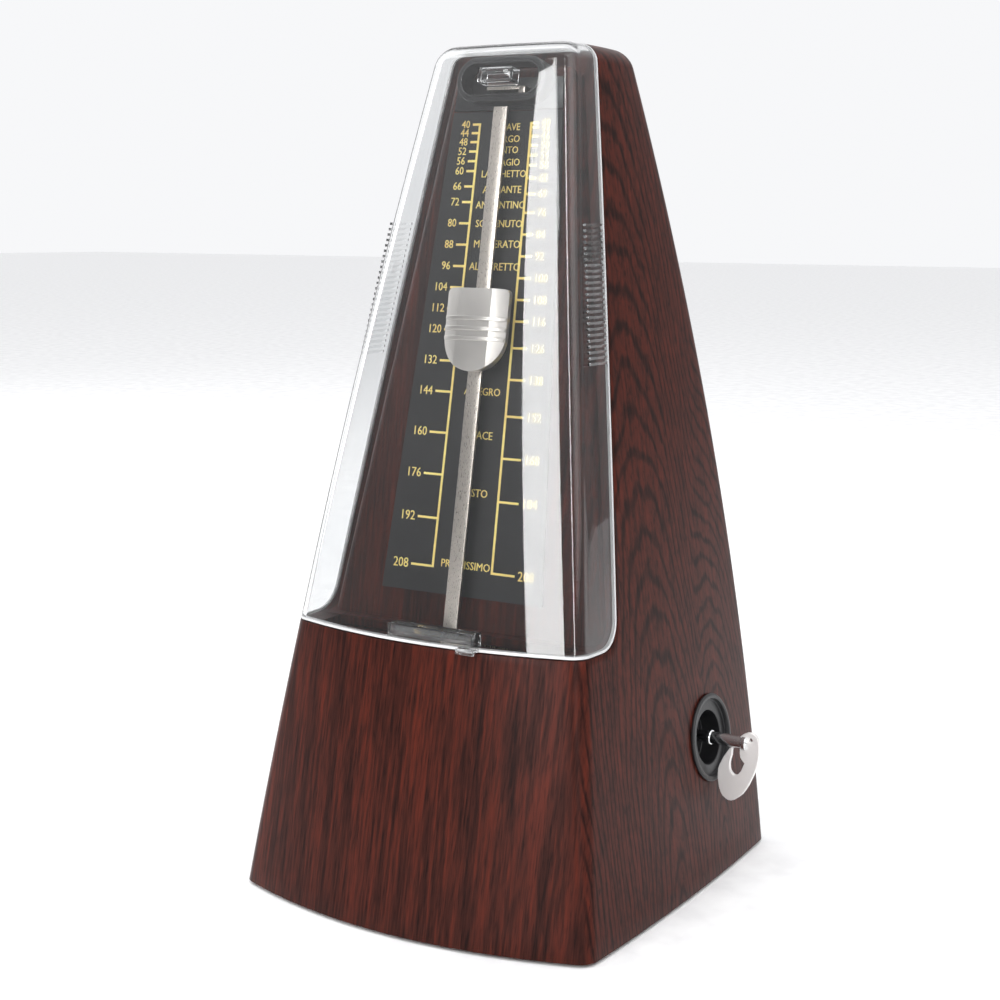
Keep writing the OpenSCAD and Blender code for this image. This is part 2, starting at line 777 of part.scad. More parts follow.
module click_spring() {
    color("silver") on_axis(click_axis, ratchet_x + 0.3) {
        linear_extrude(0.9) polygon([[-8, 2.6], [-8, 2.9], [2.4, 2.9], [2.4, 2.6]]);
        translate([-9, 2.75, -0.9]) cylinder(h = 1.9, r = 1.2);
    }
}

barrel_wall = 1;
module barrel() {
    color("#c8b27a") on_axis(winding_axis, barrel_x) difference() {
        cylinder(h = barrel_l, r = barrel_r);
        translate([0, 0, -1]) cylinder(h = barrel_l, r = barrel_r - barrel_wall);
        translate([0, 0, -1]) cylinder(h = barrel_l + 2, r = arbor_r + pivot_play);
    }
}

module barrel_cap() {
    color("#d6c287") on_axis(winding_axis, barrel_x - 1) difference() {
        cylinder(h = 1, r = barrel_r);
        translate([0, 0, -1]) cylinder(h = 3, r = arbor_r + pivot_play);
    }
}

spring_turns = 7;
spring_strip = 0.5;
module mainspring() {
    inner = 4;
    outer = barrel_r - barrel_wall - spring_strip - 0.1;
    last = spring_turns * 24;
    function coil(i, out) = let (a = 15 * i, r = inner + (outer - inner) * i / last + out)
        r * [cos(a), sin(a)];
    color("#7d8288") on_axis(winding_axis, barrel_x + 0.5)
        linear_extrude(barrel_l - 2.2) polygon(concat(
            [for (i = [0:last]) coil(i, 0)],
            [for (i = [last:-1:0]) coil(i, spring_strip)]
        ));
}

// ---- Wheels ----
// Outline of a spur gear with a tooth centred on the angle first.
module gear_outline(teeth, size, first) {
    r = teeth * size / 2;
    pitch = 360 / teeth;
    root = r - 1.2 * size;
    tip = r + 0.75 * size;
    polygon([for (i = [0:teeth - 1]) let (a = first + i * pitch) each [
        root * [cos(a - 0.27 * pitch), sin(a - 0.27 * pitch)],
        r * [cos(a - 0.2 * pitch), sin(a - 0.2 * pitch)],
        tip * [cos(a - 0.09 * pitch), sin(a - 0.09 * pitch)],
        tip * [cos(a + 0.09 * pitch), sin(a + 0.09 * pitch)],
        r * [cos(a + 0.2 * pitch), sin(a + 0.2 * pitch)],
        root * [cos(a + 0.27 * pitch), sin(a + 0.27 * pitch)]
    ]]);
}

// Four windows that leave a cross of spokes.
module spoke_windows(outer, inner, spoke) {
    for (i = [0:3]) rotate(i * 90) intersection() {
        difference() {
            circle(outer);
            circle(inner);
        }
        translate([spoke / 2, spoke / 2]) square([outer, outer]);
    }
}

module great_wheel() {
    color("#cdb26a") on_axis(winding_axis, great_x) linear_extrude(great_t) difference() {
        gear_outline(great_teeth, great_module, turn_to(winding_axis, middle_axis));
        circle(arbor_r + pivot_play);
    }
}

module intermediate_arbor() {
    color("silver") on_axis(middle_axis, 0) {
        translate([0, 0, -left_plate_x + 0.4])
            cylinder(h = left_plate_x + right_plate_x - 0.8, r = thin_arbor_r);
        translate([0, 0, outer_left_x - 0.2])
            cylinder(h = outer_right_x - outer_left_x + 0.4, r = pivot_r);
    }
}

module intermediate_pinion() {
    start = turn_to(middle_axis, winding_axis) + 180 / pinion_teeth;
    color("#9a9da1") on_axis(middle_axis, great_x - 0.6) linear_extrude(great_t + 1.2)
        difference() {
            gear_outline(pinion_teeth, great_module, start);
            circle(thin_arbor_r);
        }
}

module intermediate_wheel() {
    color("#cdb26a") on_axis(middle_axis, middle_x) linear_extrude(middle_t)
        difference() {
            gear_outline(middle_teeth, middle_module, turn_to(middle_axis, escape_axis));
            spoke_windows(middle_r - 2.2, 3, 2.2);
            circle(thin_arbor_r);
        }
}

module escape_arbor() {
    color("silver") on_axis(escape_axis, 0) {
        translate([0, 0, crown_x])
            cylinder(h = right_plate_x - crown_x - 0.4, r = thin_arbor_r);
        translate([0, 0, crown_x - 0.2])
            cylinder(h = outer_right_x - crown_x + 0.4, r = pivot_r);
    }
}

module escape_pinion() {
    start = turn_to(escape_axis, middle_axis) + 180 / pinion_teeth;
    color("#9a9da1") on_axis(escape_axis, middle_x - 0.5) linear_extrude(middle_t + 1)
        difference() {
            gear_outline(pinion_teeth, middle_module, start);
            circle(thin_arbor_r);
        }
}

// Crown wheel: a shallow cup with teeth on its rim that point to the verge.
crown_rim = 0.9;
crown_tooth_h = 2.2;
module crown_wheel() {
    deep = crown_x + crown_disc_t - crown_tip_x;
    color("#d6bd72") on_axis(escape_axis, crown_tip_x) {
        translate([0, 0, deep - crown_disc_t]) difference() {
            cylinder(h = crown_disc_t, r = crown_r + crown_rim / 2);
            translate([0, 0, -1]) cylinder(h = 3, r = thin_arbor_r);
        }
        translate([0, 0, crown_tooth_h]) difference() {
            cylinder(h = deep - crown_tooth_h - crown_disc_t, r = crown_r + crown_rim / 2);
            translate([0, 0, -1]) cylinder(h = deep, r = crown_r - crown_rim / 2);
        }
        for (i = [0:crown_teeth - 1]) rotate(i * 360 / crown_teeth)
            translate([crown_r - crown_rim / 2 + 0.1, 0, 0]) rotate([90, 0, 90])
                linear_extrude(crown_rim - 0.2) polygon([
                    [-1.2, crown_tooth_h + 0.1], [-0.2, 0], [0.2, 0],
                    [0.5, crown_tooth_h + 0.1]
                ]);
    }
}

// ---- Pendulum ----
verge_front = -1.4;
verge_rear = potence_rear + potence_t + 0.5;
module verge_arbor() {
    color("silver") swing_frame() translate([0, verge_rear, 0]) rotate([90, 0, 0])
        cylinder(h = verge_rear - verge_front, r = thin_arbor_r);
}

module pallets() {
    reach = crown_tip_x - pallet_gap;
    color("#a9acb0") swing_frame() for (side = [-1, 1])
        translate([0, crown_back + side * crown_r, 0]) difference() {
            union() {
                translate([0, 1, 0]) rotate([90, 0, 0]) cylinder(h = 2, r = 1.5);
                rotate([0, side * 40, 0]) translate([0, -1, -0.3]) cube([reach, 2, 0.6]);
            }
            translate([0, 2, 0]) rotate([90, 0, 0]) cylinder(h = 4, r = thin_arbor_r);
        }
}

module pendulum_hub() {
    color("#c8b27a") swing_frame() translate([0, 3.4, 0]) rotate([90, 0, 0]) difference() {
        union() {
            cylinder(h = 3, r = 4.6);
            cylinder(h = 5.6, r = 2.2);
        }
        translate([0, 0, -1]) cylinder(h = 10, r = thin_arbor_r);
        translate([-rod_w / 2, -10, 3.4 - rod_t / 2]) cube([rod_w, 20, rod_t]);
    }
}

module pendulum_rod() {
    low = -bob_drop - bob_r + 2;
    high = along_rod(rod_tip_z);
    color("#a8a39b") swing_frame() difference() {
        translate([-rod_w / 2, -rod_t / 2, low]) cube([rod_w, rod_t, high - low]);
        translate([0, 5, 0]) rotate([90, 0, 0]) cylinder(h = 10, r = thin_arbor_r);
    }
}

module counterweight() {
    color("#5d6064") swing_frame() translate([0, 0, -bob_drop]) difference() {
        translate([0, bob_t / 2, 0]) rotate([90, 0, 0]) cylinder(h = bob_t, r = bob_r);
        translate([-rod_w / 2, -rod_t / 2, -bob_r - 1]) cube([rod_w, rod_t, 2 * bob_r + 2]);
    }
}

// ---- Sliding weight ----
weight_back = rod_t / 2 + 0.2;
weight_s = along_rod(weight_z);
module weight_outline() {
    half = weight_w / 2;
    top = weight_l / 2;
    translate([-half, -top + half]) square([weight_w, weight_l - half]);
    translate([0, -top + half]) circle(half);
}

module weight_body() {
    half = weight_w / 2;
    facet = 4.4;
    edge_t = 0.9;
    color("#d4d6da") swing_frame() translate([0, -weight_back, weight_s]) difference() {
        intersection() {
            rotate([90, 0, 0]) linear_extrude(weight_t) weight_outline();
            translate([0, 0, -weight_l]) linear_extrude(2 * weight_l) polygon([
                [-half, 0], [half, 0], [half, -edge_t], [facet, -weight_t],
                [-facet, -weight_t], [-half, -edge_t]
            ]);
        }
        for (z = [-0.9, 1.5]) translate([0, -weight_t, z]) rotate([0, 90, 0])
            cylinder(h = weight_w + 2, r = 0.45, center = true);
    }
}

slider_w = 9;
slider_back = rod_gap - plate_t - print_t - 0.7;
module weight_slider() {
    play = 0.15;
    color("#1a1a1a") swing_frame() translate([0, 0, weight_s]) difference() {
        translate([-slider_w / 2, -weight_back, -8])
            cube([slider_w, weight_back + slider_back, 15]);
        translate([-rod_w / 2 - play, -weight_back - 1, -10])
            cube([rod_w + 2 * play, weight_back + 1 + rod_t / 2 + play, 20]);
        translate([-rod_w / 2 + 0.5, 0, -6]) cube([rod_w - 1, slider_back - 0.5, 11]);
    }
}

module weight_spring() {
    back = slider_back - 0.5 - 0.25;
    color("silver") swing_frame() translate([-1, back, weight_s - 5.6]) cube([2, 0.25, 10.2]);
}

case_shell();
front_panel();
base_plate();
foot_ring();
base_screws();
front_cover();
scale_plate();
scale_marks();
rod_rest_hood();
rod_rest_spring();
key_bezel();
left_frame_plate();
right_frame_plate();
frame_pillars();
pillar_screws();
front_potence();
rear_potence();
mount_brackets();
bracket_screws();
pivot_bushes();
winding_arbor();
ratchet_wheel();
key_shaft();
key_wing();
click();
click_screw();
click_spring();
barrel();
barrel_cap();
mainspring();
great_wheel();
intermediate_arbor();
intermediate_pinion();
intermediate_wheel();
escape_arbor();
escape_pinion();
crown_wheel();
verge_arbor();
pallets();
pendulum_hub();
pendulum_rod();
counterweight();
weight_body();
weight_slider();
weight_spring();
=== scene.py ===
"""Looks of a wind-up pendulum metronome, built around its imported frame."""
import json
import math
from functools import partial

import bpy
from bpy.props import FloatProperty, FloatVectorProperty, PointerProperty
from mathutils import Matrix, Vector


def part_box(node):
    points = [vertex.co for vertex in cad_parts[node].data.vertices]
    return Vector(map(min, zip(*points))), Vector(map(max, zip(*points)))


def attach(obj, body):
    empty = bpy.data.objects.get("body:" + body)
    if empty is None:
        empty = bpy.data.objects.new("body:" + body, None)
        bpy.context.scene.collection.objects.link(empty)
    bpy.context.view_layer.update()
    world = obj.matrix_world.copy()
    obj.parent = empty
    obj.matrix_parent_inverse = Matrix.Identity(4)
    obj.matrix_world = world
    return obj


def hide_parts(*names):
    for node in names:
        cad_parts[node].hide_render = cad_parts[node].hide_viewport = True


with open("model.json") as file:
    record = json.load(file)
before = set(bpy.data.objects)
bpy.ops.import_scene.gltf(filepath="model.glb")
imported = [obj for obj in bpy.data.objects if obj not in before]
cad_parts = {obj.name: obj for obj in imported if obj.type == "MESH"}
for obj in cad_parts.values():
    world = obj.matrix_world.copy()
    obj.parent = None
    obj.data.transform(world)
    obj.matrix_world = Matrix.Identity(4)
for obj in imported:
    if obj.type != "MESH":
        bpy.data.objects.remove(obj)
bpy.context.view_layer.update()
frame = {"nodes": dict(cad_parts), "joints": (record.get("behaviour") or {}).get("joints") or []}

bl_info = {
    "name": "Pendulum Metronome",
    "version": (1, 0, 0),
    "blender": (4, 5, 0),
    "location": "View3D > Sidebar > Metronome",
    "description": "Builds a wind-up metronome with its clear cover, scale and key",
    "category": "Object",
}

MM = 0.001

# ---------------------------------------------------------------- sizes from the frame
JOINTS = {joint["name"]: joint for joint in frame["joints"]}
SWING = JOINTS["pendulum_swing"]
PIVOT = Vector(SWING["pos_m"]) / MM
LEAN = math.asin(SWING["axis"][2])
KEY_AXIS = Vector(JOINTS["key_wind"]["pos_m"]) / MM


def node_box(node):
    """Lowest and highest corner of a frame node, in millimetres."""
    low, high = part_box(node)
    return low / MM, high / MM


PLATE_HIGH = node_box("scale_plate")[1]


def length(label, about, value):
    return FloatProperty(name=label, description=about, default=value)


def tint(label, about, value):
    return FloatVectorProperty(name=label, description=about, default=value,
                               subtype="COLOR", min=0, max=1)


class MetronomeSizes(bpy.types.PropertyGroup):
    """Sizes that the visible shells are drawn from, in millimetres."""
    case_height: length("Case height", "Table to the top of the case", 203.0)
    base_width: length("Foot width", "Width of the case at its foot", 100.0)
    top_width: length("Top width", "Width of the case at its top", 40.0)
    base_depth: length("Foot depth", "Depth of the case at its foot", 108.0)
    top_front: length("Top front", "Centre line to the front of the top", 6.6)
    top_back: length("Top back", "Centre line to the back of the top", 26.9)
    side_swell: length("Side swell", "Outward swell of the side walls", 0.12)
    front_swell: length("Front swell", "Outward swell of the front wall", 0.23)
    back_swell: length("Back swell", "Outward swell of the back wall", 1.3)
    front_bow: length("Front bow", "Growth of the front's bow from top to foot", 7.5)
    foot_corner: length("Foot corner", "Corner radius at the foot", 4.5)
    top_corner: length("Top corner", "Corner radius at the top", 5.5)
    top_edge: length("Top edge", "Radius of the edge around the top", 4.5)
    case_wall: length("Case wall", "Thickness of the case", 2.2)
    cover_wall: length("Cover wall", "Thickness of the clear cover", 1.5)
    cover_gap: length("Cover gap", "Gap between cover and case", 0.35)
    cover_corner: length("Cover corner", "Lower rear corner of the cover", 8.0)
    sill_height: length("Sill height", "Height that the cover stands at", 65.3)
    rod_gap: length("Rod gap", "Middle of the rod to the panel", 3.4)
    panel_proud: length("Panel step", "Panel face in front of the joint", 3.8)
    plate_thickness: length("Scale plate", "Thickness of the scale plate", 0.8)
    bezel_radius: length("Bezel radius", "Radius of the key's bezel", 10.8)


class MetronomeColours(bpy.types.PropertyGroup):
    """Colours of the finishes."""
    wood_dark: tint("Dark grain", "Darkest wood streak", (0.013, 0.0033, 0.0024))
    wood_mid: tint("Mahogany", "Main wood colour", (0.042, 0.0100, 0.0066))
    wood_red: tint("Red grain", "Warm red wood streak", (0.086, 0.0150, 0.0085))
    print_gold: tint("Print", "Lines and numbers of the scale", (0.90, 0.66, 0.20))
    black: tint("Black", "Mouldings and scale plate", (0.010, 0.010, 0.011))
    nickel: tint("Nickel", "Rod and hood spring", (0.56, 0.51, 0.46))
    brass: tint("Brass", "Wheels and frame plates", (0.66, 0.46, 0.20))


def sizes():
    return bpy.context.scene.metronome_sizes


def colours():
    return bpy.context.scene.metronome_colours


# ---------------------------------------------------------------- outline of the case
SIDE_BOW_TOP, SIDE_BOW_GROWTH = 0.6, 0.8
FRONT_BOW_TOP = 0.8
LEAST_CORNER, LEAST_EDGE = 0.8, 2.0
LAST_TURN = math.radians(88)
ABOVE_CASE = 20.0
PANEL_TOP_DROP = 5.2


def drop(z):
    """0 at the top of the case and 1 at the foot."""
    return (sizes().case_height - z) / sizes().case_height


def spread(share, swell):
    """A share from 0 to 1 that runs ahead by swell between its ends."""
    return share * (1 + swell * (1 - share))


def side_x(z):
    s = sizes()
    taper = (s.base_width - s.top_width) / 2
    return s.top_width / 2 + taper * spread(drop(z), s.side_swell)


def front_y(z):
    s = sizes()
    return -s.top_front - (s.base_depth / 2 - s.top_front) * spread(drop(z), s.front_swell)


def back_y(z):
    s = sizes()
    return s.top_back + (s.base_depth / 2 - s.top_back) * spread(drop(z), s.back_swell)


def small_bow(z):
    """Bow of the sides and the back at a height."""
    return SIDE_BOW_TOP + SIDE_BOW_GROWTH * drop(z)


def rod_y(z):
    return PIVOT.y + (z - PIVOT.z) * math.tan(LEAN)


def joint_y(z):
    """Depth of the joint between the case and its cover."""
    return rod_y(z) + (sizes().rod_gap + sizes().panel_proud) / math.cos(LEAN)


def edge_points(half, middle, bow, radius, side_tilt, way, flats, arcs):
    """A bowed front (way -1) or back (way 1) edge with an arc at each end."""
    slope = math.atan(2 * bow / (half - radius))
    end_x = half - radius * math.cos(side_tilt) + radius * math.sin(slope)
    arc_x = end_x - radius * math.sin(slope)
    arc_y = middle - way * bow - way * radius * math.cos(slope)
    sweep = math.pi / 2 - slope - side_tilt
    arc = [(radius * math.cos(-math.pi / 2 + slope + sweep * i / arcs),
            radius * math.sin(-math.pi / 2 + slope + sweep * i / arcs))
           for i in range(1, arcs + 1)]
    left = [(-arc_x - dx, arc_y - way * dy) for dx, dy in reversed(arc)]
    right = [(arc_x + dx, arc_y - way * dy) for dx, dy in arc]
    shares = [2 * i / flats - 1 for i in range(flats + 1)]
    return left + [(u * end_x, middle - way * bow * u * u) for u in shares] + right


def wall_points(start, end, bow, count):
    """A side wall between two edges, without its ends."""
    points = []
    for i in range(1, count):
        v = i / count
        out = math.copysign(bow * (1 - (2 * v - 1) ** 2), start[0])
        points.append((start[0] + (end[0] - start[0]) * v + out,
                       start[1] + (end[1] - start[1]) * v))
    return points


def section(z, inset, flats=36, walls=24, arcs=9):
    """Outline of the case at a height, moved inwards by inset."""
    s = sizes()
    corner = s.top_corner + (s.foot_corner - s.top_corner) * drop(z)
    radius = max(corner - inset, LEAST_CORNER)
    bow = small_bow(z)
    half = side_x(z) - inset - bow
    tilt = math.atan(4 * bow / (back_y(z) - front_y(z)))
    front_bow = s.front_bow * drop(z) + FRONT_BOW_TOP
    front = edge_points(half, front_y(z) + inset, front_bow, radius, tilt, -1, flats, arcs)
    back = edge_points(half, back_y(z) - inset, bow, radius, tilt, 1, flats, arcs)
    back.reverse()
    return (front + wall_points(front[-1], back[0], bow, walls)
            + back + wall_points(back[-1], front[0], bow, walls))


def body_rows(inset, low, straight=44, rounded=9):
    """Rows of points of the case's outer form, shrunk by inset."""
    s = sizes()
    top = s.case_height - inset
    edge = s.top_edge - min(inset, s.top_edge - LEAST_EDGE)
    rows = []
    for i in range(straight + 1):
        z = low + (top - edge - low) * i / straight
        rows.append([(x, y, z) for x, y in section(z, inset)])
    for i in range(1, rounded + 1):
        angle = LAST_TURN * i / rounded
        z = top - edge + edge * math.sin(angle)
        extra = inset + edge * (1 - math.cos(angle))
        rows.append([(x, y, z) for x, y in section(z, extra)])
    return rows


def cover_zone(grow, steps=12):
    """Side view (y, z) of the space that the cover takes, moved back and down by grow."""
    s = sizes()
    low = s.sill_height - grow
    radius = s.cover_corner + grow
    shift = grow / math.cos(LEAN)
    corner_y = joint_y(low) + shift
    run = radius / math.tan((math.pi / 2 + LEAN) / 2)
    centre_y = corner_y + run * math.sin(LEAN) - radius * math.cos(LEAN)
    centre_z = low + run * math.cos(LEAN) + radius * math.sin(LEAN)
    high = s.case_height + ABOVE_CASE
    points = [(-s.base_depth, high), (-s.base_depth, low)]
    for i in range(steps, -1, -1):
        angle = -LEAN - (math.pi / 2 - LEAN) * i / steps
        points.append((centre_y + radius * math.cos(angle),
                       centre_z + radius * math.sin(angle)))
    points.append((joint_y(high) + shift, high))
    return points


# ---------------------------------------------------------------- modelling helpers
def clear_selection():
    if bpy.context.mode != "OBJECT":
        bpy.ops.object.mode_set(mode="OBJECT")
    bpy.ops.object.select_all(action="DESELECT")


def only(piece):
    clear_selection()
    piece.select_set(True)
    bpy.context.view_layer.objects.active = piece
    return piece


def tidy_mesh(piece, merge=0.002):
    """Merges doubles, closes holes and turns faces outwards."""
    only(piece)
    bpy.ops.object.mode_set(mode="EDIT")
    bpy.ops.mesh.select_all(action="SELECT")
    bpy.ops.mesh.remove_doubles(threshold=merge * MM)
    bpy.ops.mesh.select_all(action="DESELECT")
    bpy.ops.mesh.select_mode(type="EDGE")
    bpy.ops.mesh.select_non_manifold(extend=False)
    bpy.ops.mesh.fill_holes(sides=0)
    bpy.ops.mesh.select_mode(type="FACE")
    bpy.ops.mesh.select_all(action="SELECT")
    bpy.ops.mesh.normals_make_consistent(inside=False)
    bpy.ops.object.mode_set(mode="OBJECT")
    return piece


def skin(name, rows):
    """A grid whose rows are laid on rings of points, closed at both ends."""
    clear_selection()
    bpy.ops.mesh.primitive_grid_add(
        x_subdivisions=len(rows[0]), y_subdivisions=len(rows) - 1, size=1)
    piece = bpy.context.active_object
    piece.name = piece.data.name = name
    flat = []
    for row in rows:
        for x, y, z in [*row, row[0]]:
            flat.extend((x * MM, y * MM, z * MM))
    piece.data.vertices.foreach_set("co", flat)
    piece.data.update()
    return tidy_mesh(piece)


def prism(name, outline, low, high, place):
    """A flat outline swept from low to high; place turns (u, v, w) into x, y, z."""
    rows = [[place(u, v, w) for u, v in outline] for w in (low, high)]
    return skin(name, rows)


def modify(piece, kind, **settings):
    only(piece)
    modifier = piece.modifiers.new(kind.lower(), kind)
    for key, value in settings.items():
        setattr(modifier, key, value)
    bpy.ops.object.modifier_apply(modifier=modifier.name)
    return piece


def cut(piece, cutter, operation="DIFFERENCE"):
    modify(piece, "BOOLEAN", object=cutter, operation=operation, solver="EXACT")
    bpy.data.objects.remove(cutter)
    return piece


def bevel(piece, width, segments=3, angle=35):
    return modify(piece, "BEVEL", width=width * MM, segments=segments,
                  limit_method="ANGLE", angle_limit=math.radians(angle),
                  harden_normals=False, use_clamp_overlap=True)


def join(name, pieces):
    only(pieces[0])
    for piece in pieces:
        piece.select_set(True)
    bpy.ops.object.join()
    piece = bpy.context.active_object
    piece.name = piece.data.name = name
    return piece


def copy_of(piece, name):
    twin = piece.copy()
    twin.data = piece.data.copy()
    twin.name = twin.data.name = name
    bpy.context.scene.collection.objects.link(twin)
    return twin


def lathe(name, profile, place, steps):
    """Turns a profile of (radius, along) points; place maps (u, v, w) with w along."""
    rows = []
    for radius, along in profile:
        rows.append([place(radius * math.cos(math.tau * i / steps),
                           radius * math.sin(math.tau * i / steps), along)
                     for i in range(steps)])
    return skin(name, rows)


def in_swing(x, back, along):
    """A point of the pendulum's own frame: along runs up the rod, back to the rear."""
    return (x, PIVOT.y + back * math.cos(LEAN) + along * math.sin(LEAN),
            PIVOT.z - back * math.sin(LEAN) + along * math.cos(LEAN))


def along_rod(z):
    return (z - PIVOT.z) / math.cos(LEAN)


def along_panel(z):
    return (z - PIVOT.z + sizes().rod_gap * math.sin(LEAN)) / math.cos(LEAN)


def on_panel(u, v, w):
    """u across, v up the panel, w out of the panel's face towards the front."""
    return in_swing(u, sizes().rod_gap - w, v)


def on_rod(x, along, out):
    return in_swing(x, -out, along)


def on_side_axis(u, v, w):
    """w along X on the winding axis, u down and v back."""
    return (w, KEY_AXIS.y + v, KEY_AXIS.z - u)


def stadium(width, height, steps=20):
    """Outline with two half-round ends."""
    radius = height / 2
    reach = width / 2 - radius
    points = []
    for side in (1, -1):
        for i in range(steps + 1):
            angle = -math.pi / 2 + math.pi * i / steps
            points.append((side * (reach + radius * math.cos(angle)),
                           side * radius * math.sin(angle)))
    return points


def finish_piece(piece, angle, material, body, slot, *nodes):
    """Smooths a piece below an angle, gives it its material and body, and hides the frame nodes
    that it replaces.
    """
    if angle:
        only(piece)
        bpy.ops.object.shade_smooth_by_angle(angle=math.radians(angle))
    piece.data.materials.clear()
    piece.data.materials.append(material)
    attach(piece, body)
    if nodes:
        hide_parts(*nodes)
    return piece


# ---------------------------------------------------------------- node groups
def new_group(name, inputs, outputs):
    """A shader node group with named sockets; inputs are (name, kind, default)."""
    group = bpy.data.node_groups.new(name, "ShaderNodeTree")
    for label, kind, value in inputs:
        socket = group.interface.new_socket(label, in_out="INPUT", socket_type=kind)
        socket.default_value = value
    for label, kind in outputs:
        group.interface.new_socket(label, in_out="OUTPUT", socket_type=kind)
    return group, group.nodes.new("NodeGroupInput"), group.nodes.new("NodeGroupOutput")


def feed(node, links):
    """Feeds a node's inputs by name or number, from sockets or with plain values."""
    for socket, source in links.items():
        if isinstance(source, bpy.types.NodeSocket):
            node.id_data.links.new(source, node.inputs[socket])
        else:
            node.inputs[socket].default_value = source


def put(tree, kind, links=None, **settings):
    """Adds a node, sets its properties and feeds its inputs."""
    node = tree.nodes.new(kind)
    for key, value in settings.items():
        setattr(node, key, value)
    feed(node, links or {})
    return node


def maths(tree, operation, first, second=0.0, third=0.0):
    node = put(tree, "ShaderNodeMath", {0: first, 1: second, 2: third}, operation=operation)
    return node.outputs[0]


def blend_colours(tree, amount, first, second, blend="MIX"):
    node = put(tree, "ShaderNodeMix", {0: amount, 6: first, 7: second}, data_type="RGBA",
               blend_type=blend)
    return node.outputs[2]


def ramp(tree, amount, stops, kind="LINEAR"):
    """A colour ramp; stops are (place, grey or colour)."""
    node = put(tree, "ShaderNodeValToRGB", {0: amount})
    node.color_ramp.interpolation = kind
    points = node.color_ramp.elements
    while len(points) < len(stops):
        points.new(0.5)
    for point, (place, value) in zip(points, stops):
        point.position = place
        point.color = (*value, 1) if hasattr(value, "__len__") else (value, value, value, 1)
    return node.outputs[0]


def noise(tree, place, size, detail, rough=0.5):
    node = put(tree, "ShaderNodeTexNoise",
               {"Vector": place, "Scale": size, "Detail": detail, "Roughness": rough})
    return node.outputs["Fac"]


def stretched_noise(tree, place, scale, detail, rough, lift=(0, 0, 0)):
    """Noise that is stretched by a different scale along each axis."""
    mapped = put(tree, "ShaderNodeMapping", {0: place, 1: lift, 3: scale})
    return noise(tree, mapped.outputs[0], 1.0, detail, rough)


RING = 0.0008  # half the distance between two growth rings, in metres


def grain_group():
    """Mahogany film: upright streaks on the front and back, nested arches on the sides."""
    tree, given, result = new_group(
        "mahogany_grain",
        [("Place", "NodeSocketVector", (0, 0, 0)), ("Normal", "NodeSocketVector", (0, 0, 1)),
         ("Dark", "NodeSocketColor", (0, 0, 0, 1)), ("Mid", "NodeSocketColor", (0, 0, 0, 1)),
         ("Red", "NodeSocketColor", (0, 0, 0, 1))],
        [("Colour", "NodeSocketColor"), ("Height", "NodeSocketFloat"),
         ("Gloss", "NodeSocketFloat")])
    place = given.outputs["Place"]
    spot = put(tree, "ShaderNodeSeparateXYZ", {0: place})
    normal = put(tree, "ShaderNodeSeparateXYZ", {0: given.outputs["Normal"]})
    plus, minus, times, times_plus = (
        partial(maths, tree, name) for name in ("ADD", "SUBTRACT", "MULTIPLY", "MULTIPLY_ADD"))

    # Upright streaks.
    broad = stretched_noise(tree, place, (230, 60, 7), 3, 0.55)
    thin = stretched_noise(tree, place, (1100, 300, 16), 2, 0.6, (3, 1, 2))
    hair = stretched_noise(tree, place, (2600, 900, 70), 2, 0.6, (7, 5, 1))
    streaks = plus(times(broad, 0.42), times(thin, 0.58))

    # Arches: rings about a trunk that leans away, so that they close at their tops.
    warp = stretched_noise(tree, place, (26, 26, 9), 2, 0.5, (1, 9, 4))
    fine_warp = stretched_noise(tree, place, (160, 160, 34), 2, 0.5, (5, 2, 8))
    sway = times(minus(warp, 0.5), 0.016)
    jitter = times(minus(fine_warp, 0.5), 0.0022)

    def trunk(centre_y, start, rise):
        across = plus(minus(spot.outputs[1], centre_y), sway)
        up = times_plus(spot.outputs[2], rise, start)
        return maths(tree, "SQRT", times_plus(up, up, times(across, across)))

    main_trunk = trunk(-0.001, 0.004, 0.17)
    low_trunk = plus(trunk(0.027, -0.001, 0.30), 0.0065)
    rings = plus(maths(tree, "SMOOTH_MIN", main_trunk, low_trunk, 0.004), jitter)
    wave = maths(tree, "DIVIDE", maths(tree, "PINGPONG", rings, RING), RING)
    lines = ramp(tree, wave, [(0.05, 0.0), (0.5, 1.0)], "EASE")
    fibre = stretched_noise(tree, place, (600, 900, 26), 2, 0.6, (2, 2, 6))
    arches = plus(times(lines, 0.16), times_plus(fibre, 0.42, 0.17))

    side = maths(tree, "ABSOLUTE", normal.outputs[0])
    side_mask = put(tree, "ShaderNodeMapRange",
                    {0: side, 1: 0.55, 2: 0.8, 3: 0.0, 4: 1.0},
                    interpolation_type="SMOOTHSTEP").outputs[0]
    figure = put(tree, "ShaderNodeMix", {0: side_mask, 2: streaks, 3: arches}).outputs[0]
    figure = times_plus(minus(hair, 0.5), 0.28, figure)
    low = ramp(tree, figure, [(0.34, 0.0), (0.52, 1.0)])
    high = ramp(tree, figure, [(0.5, 0.0), (0.68, 1.0)])
    colour = blend_colours(tree, low, given.outputs["Dark"], given.outputs["Mid"])
    colour = blend_colours(tree, high, colour, given.outputs["Red"])
    pores = ramp(tree, hair, [(0.3, 0.35), (0.42, 1.0)])
    height = plus(times(figure, 0.4), times(hair, 0.6))
    feed(result, {"Colour": blend_colours(tree, 0.5, colour, pores, "MULTIPLY"),
                  "Height": height, "Gloss": figure})
    return tree


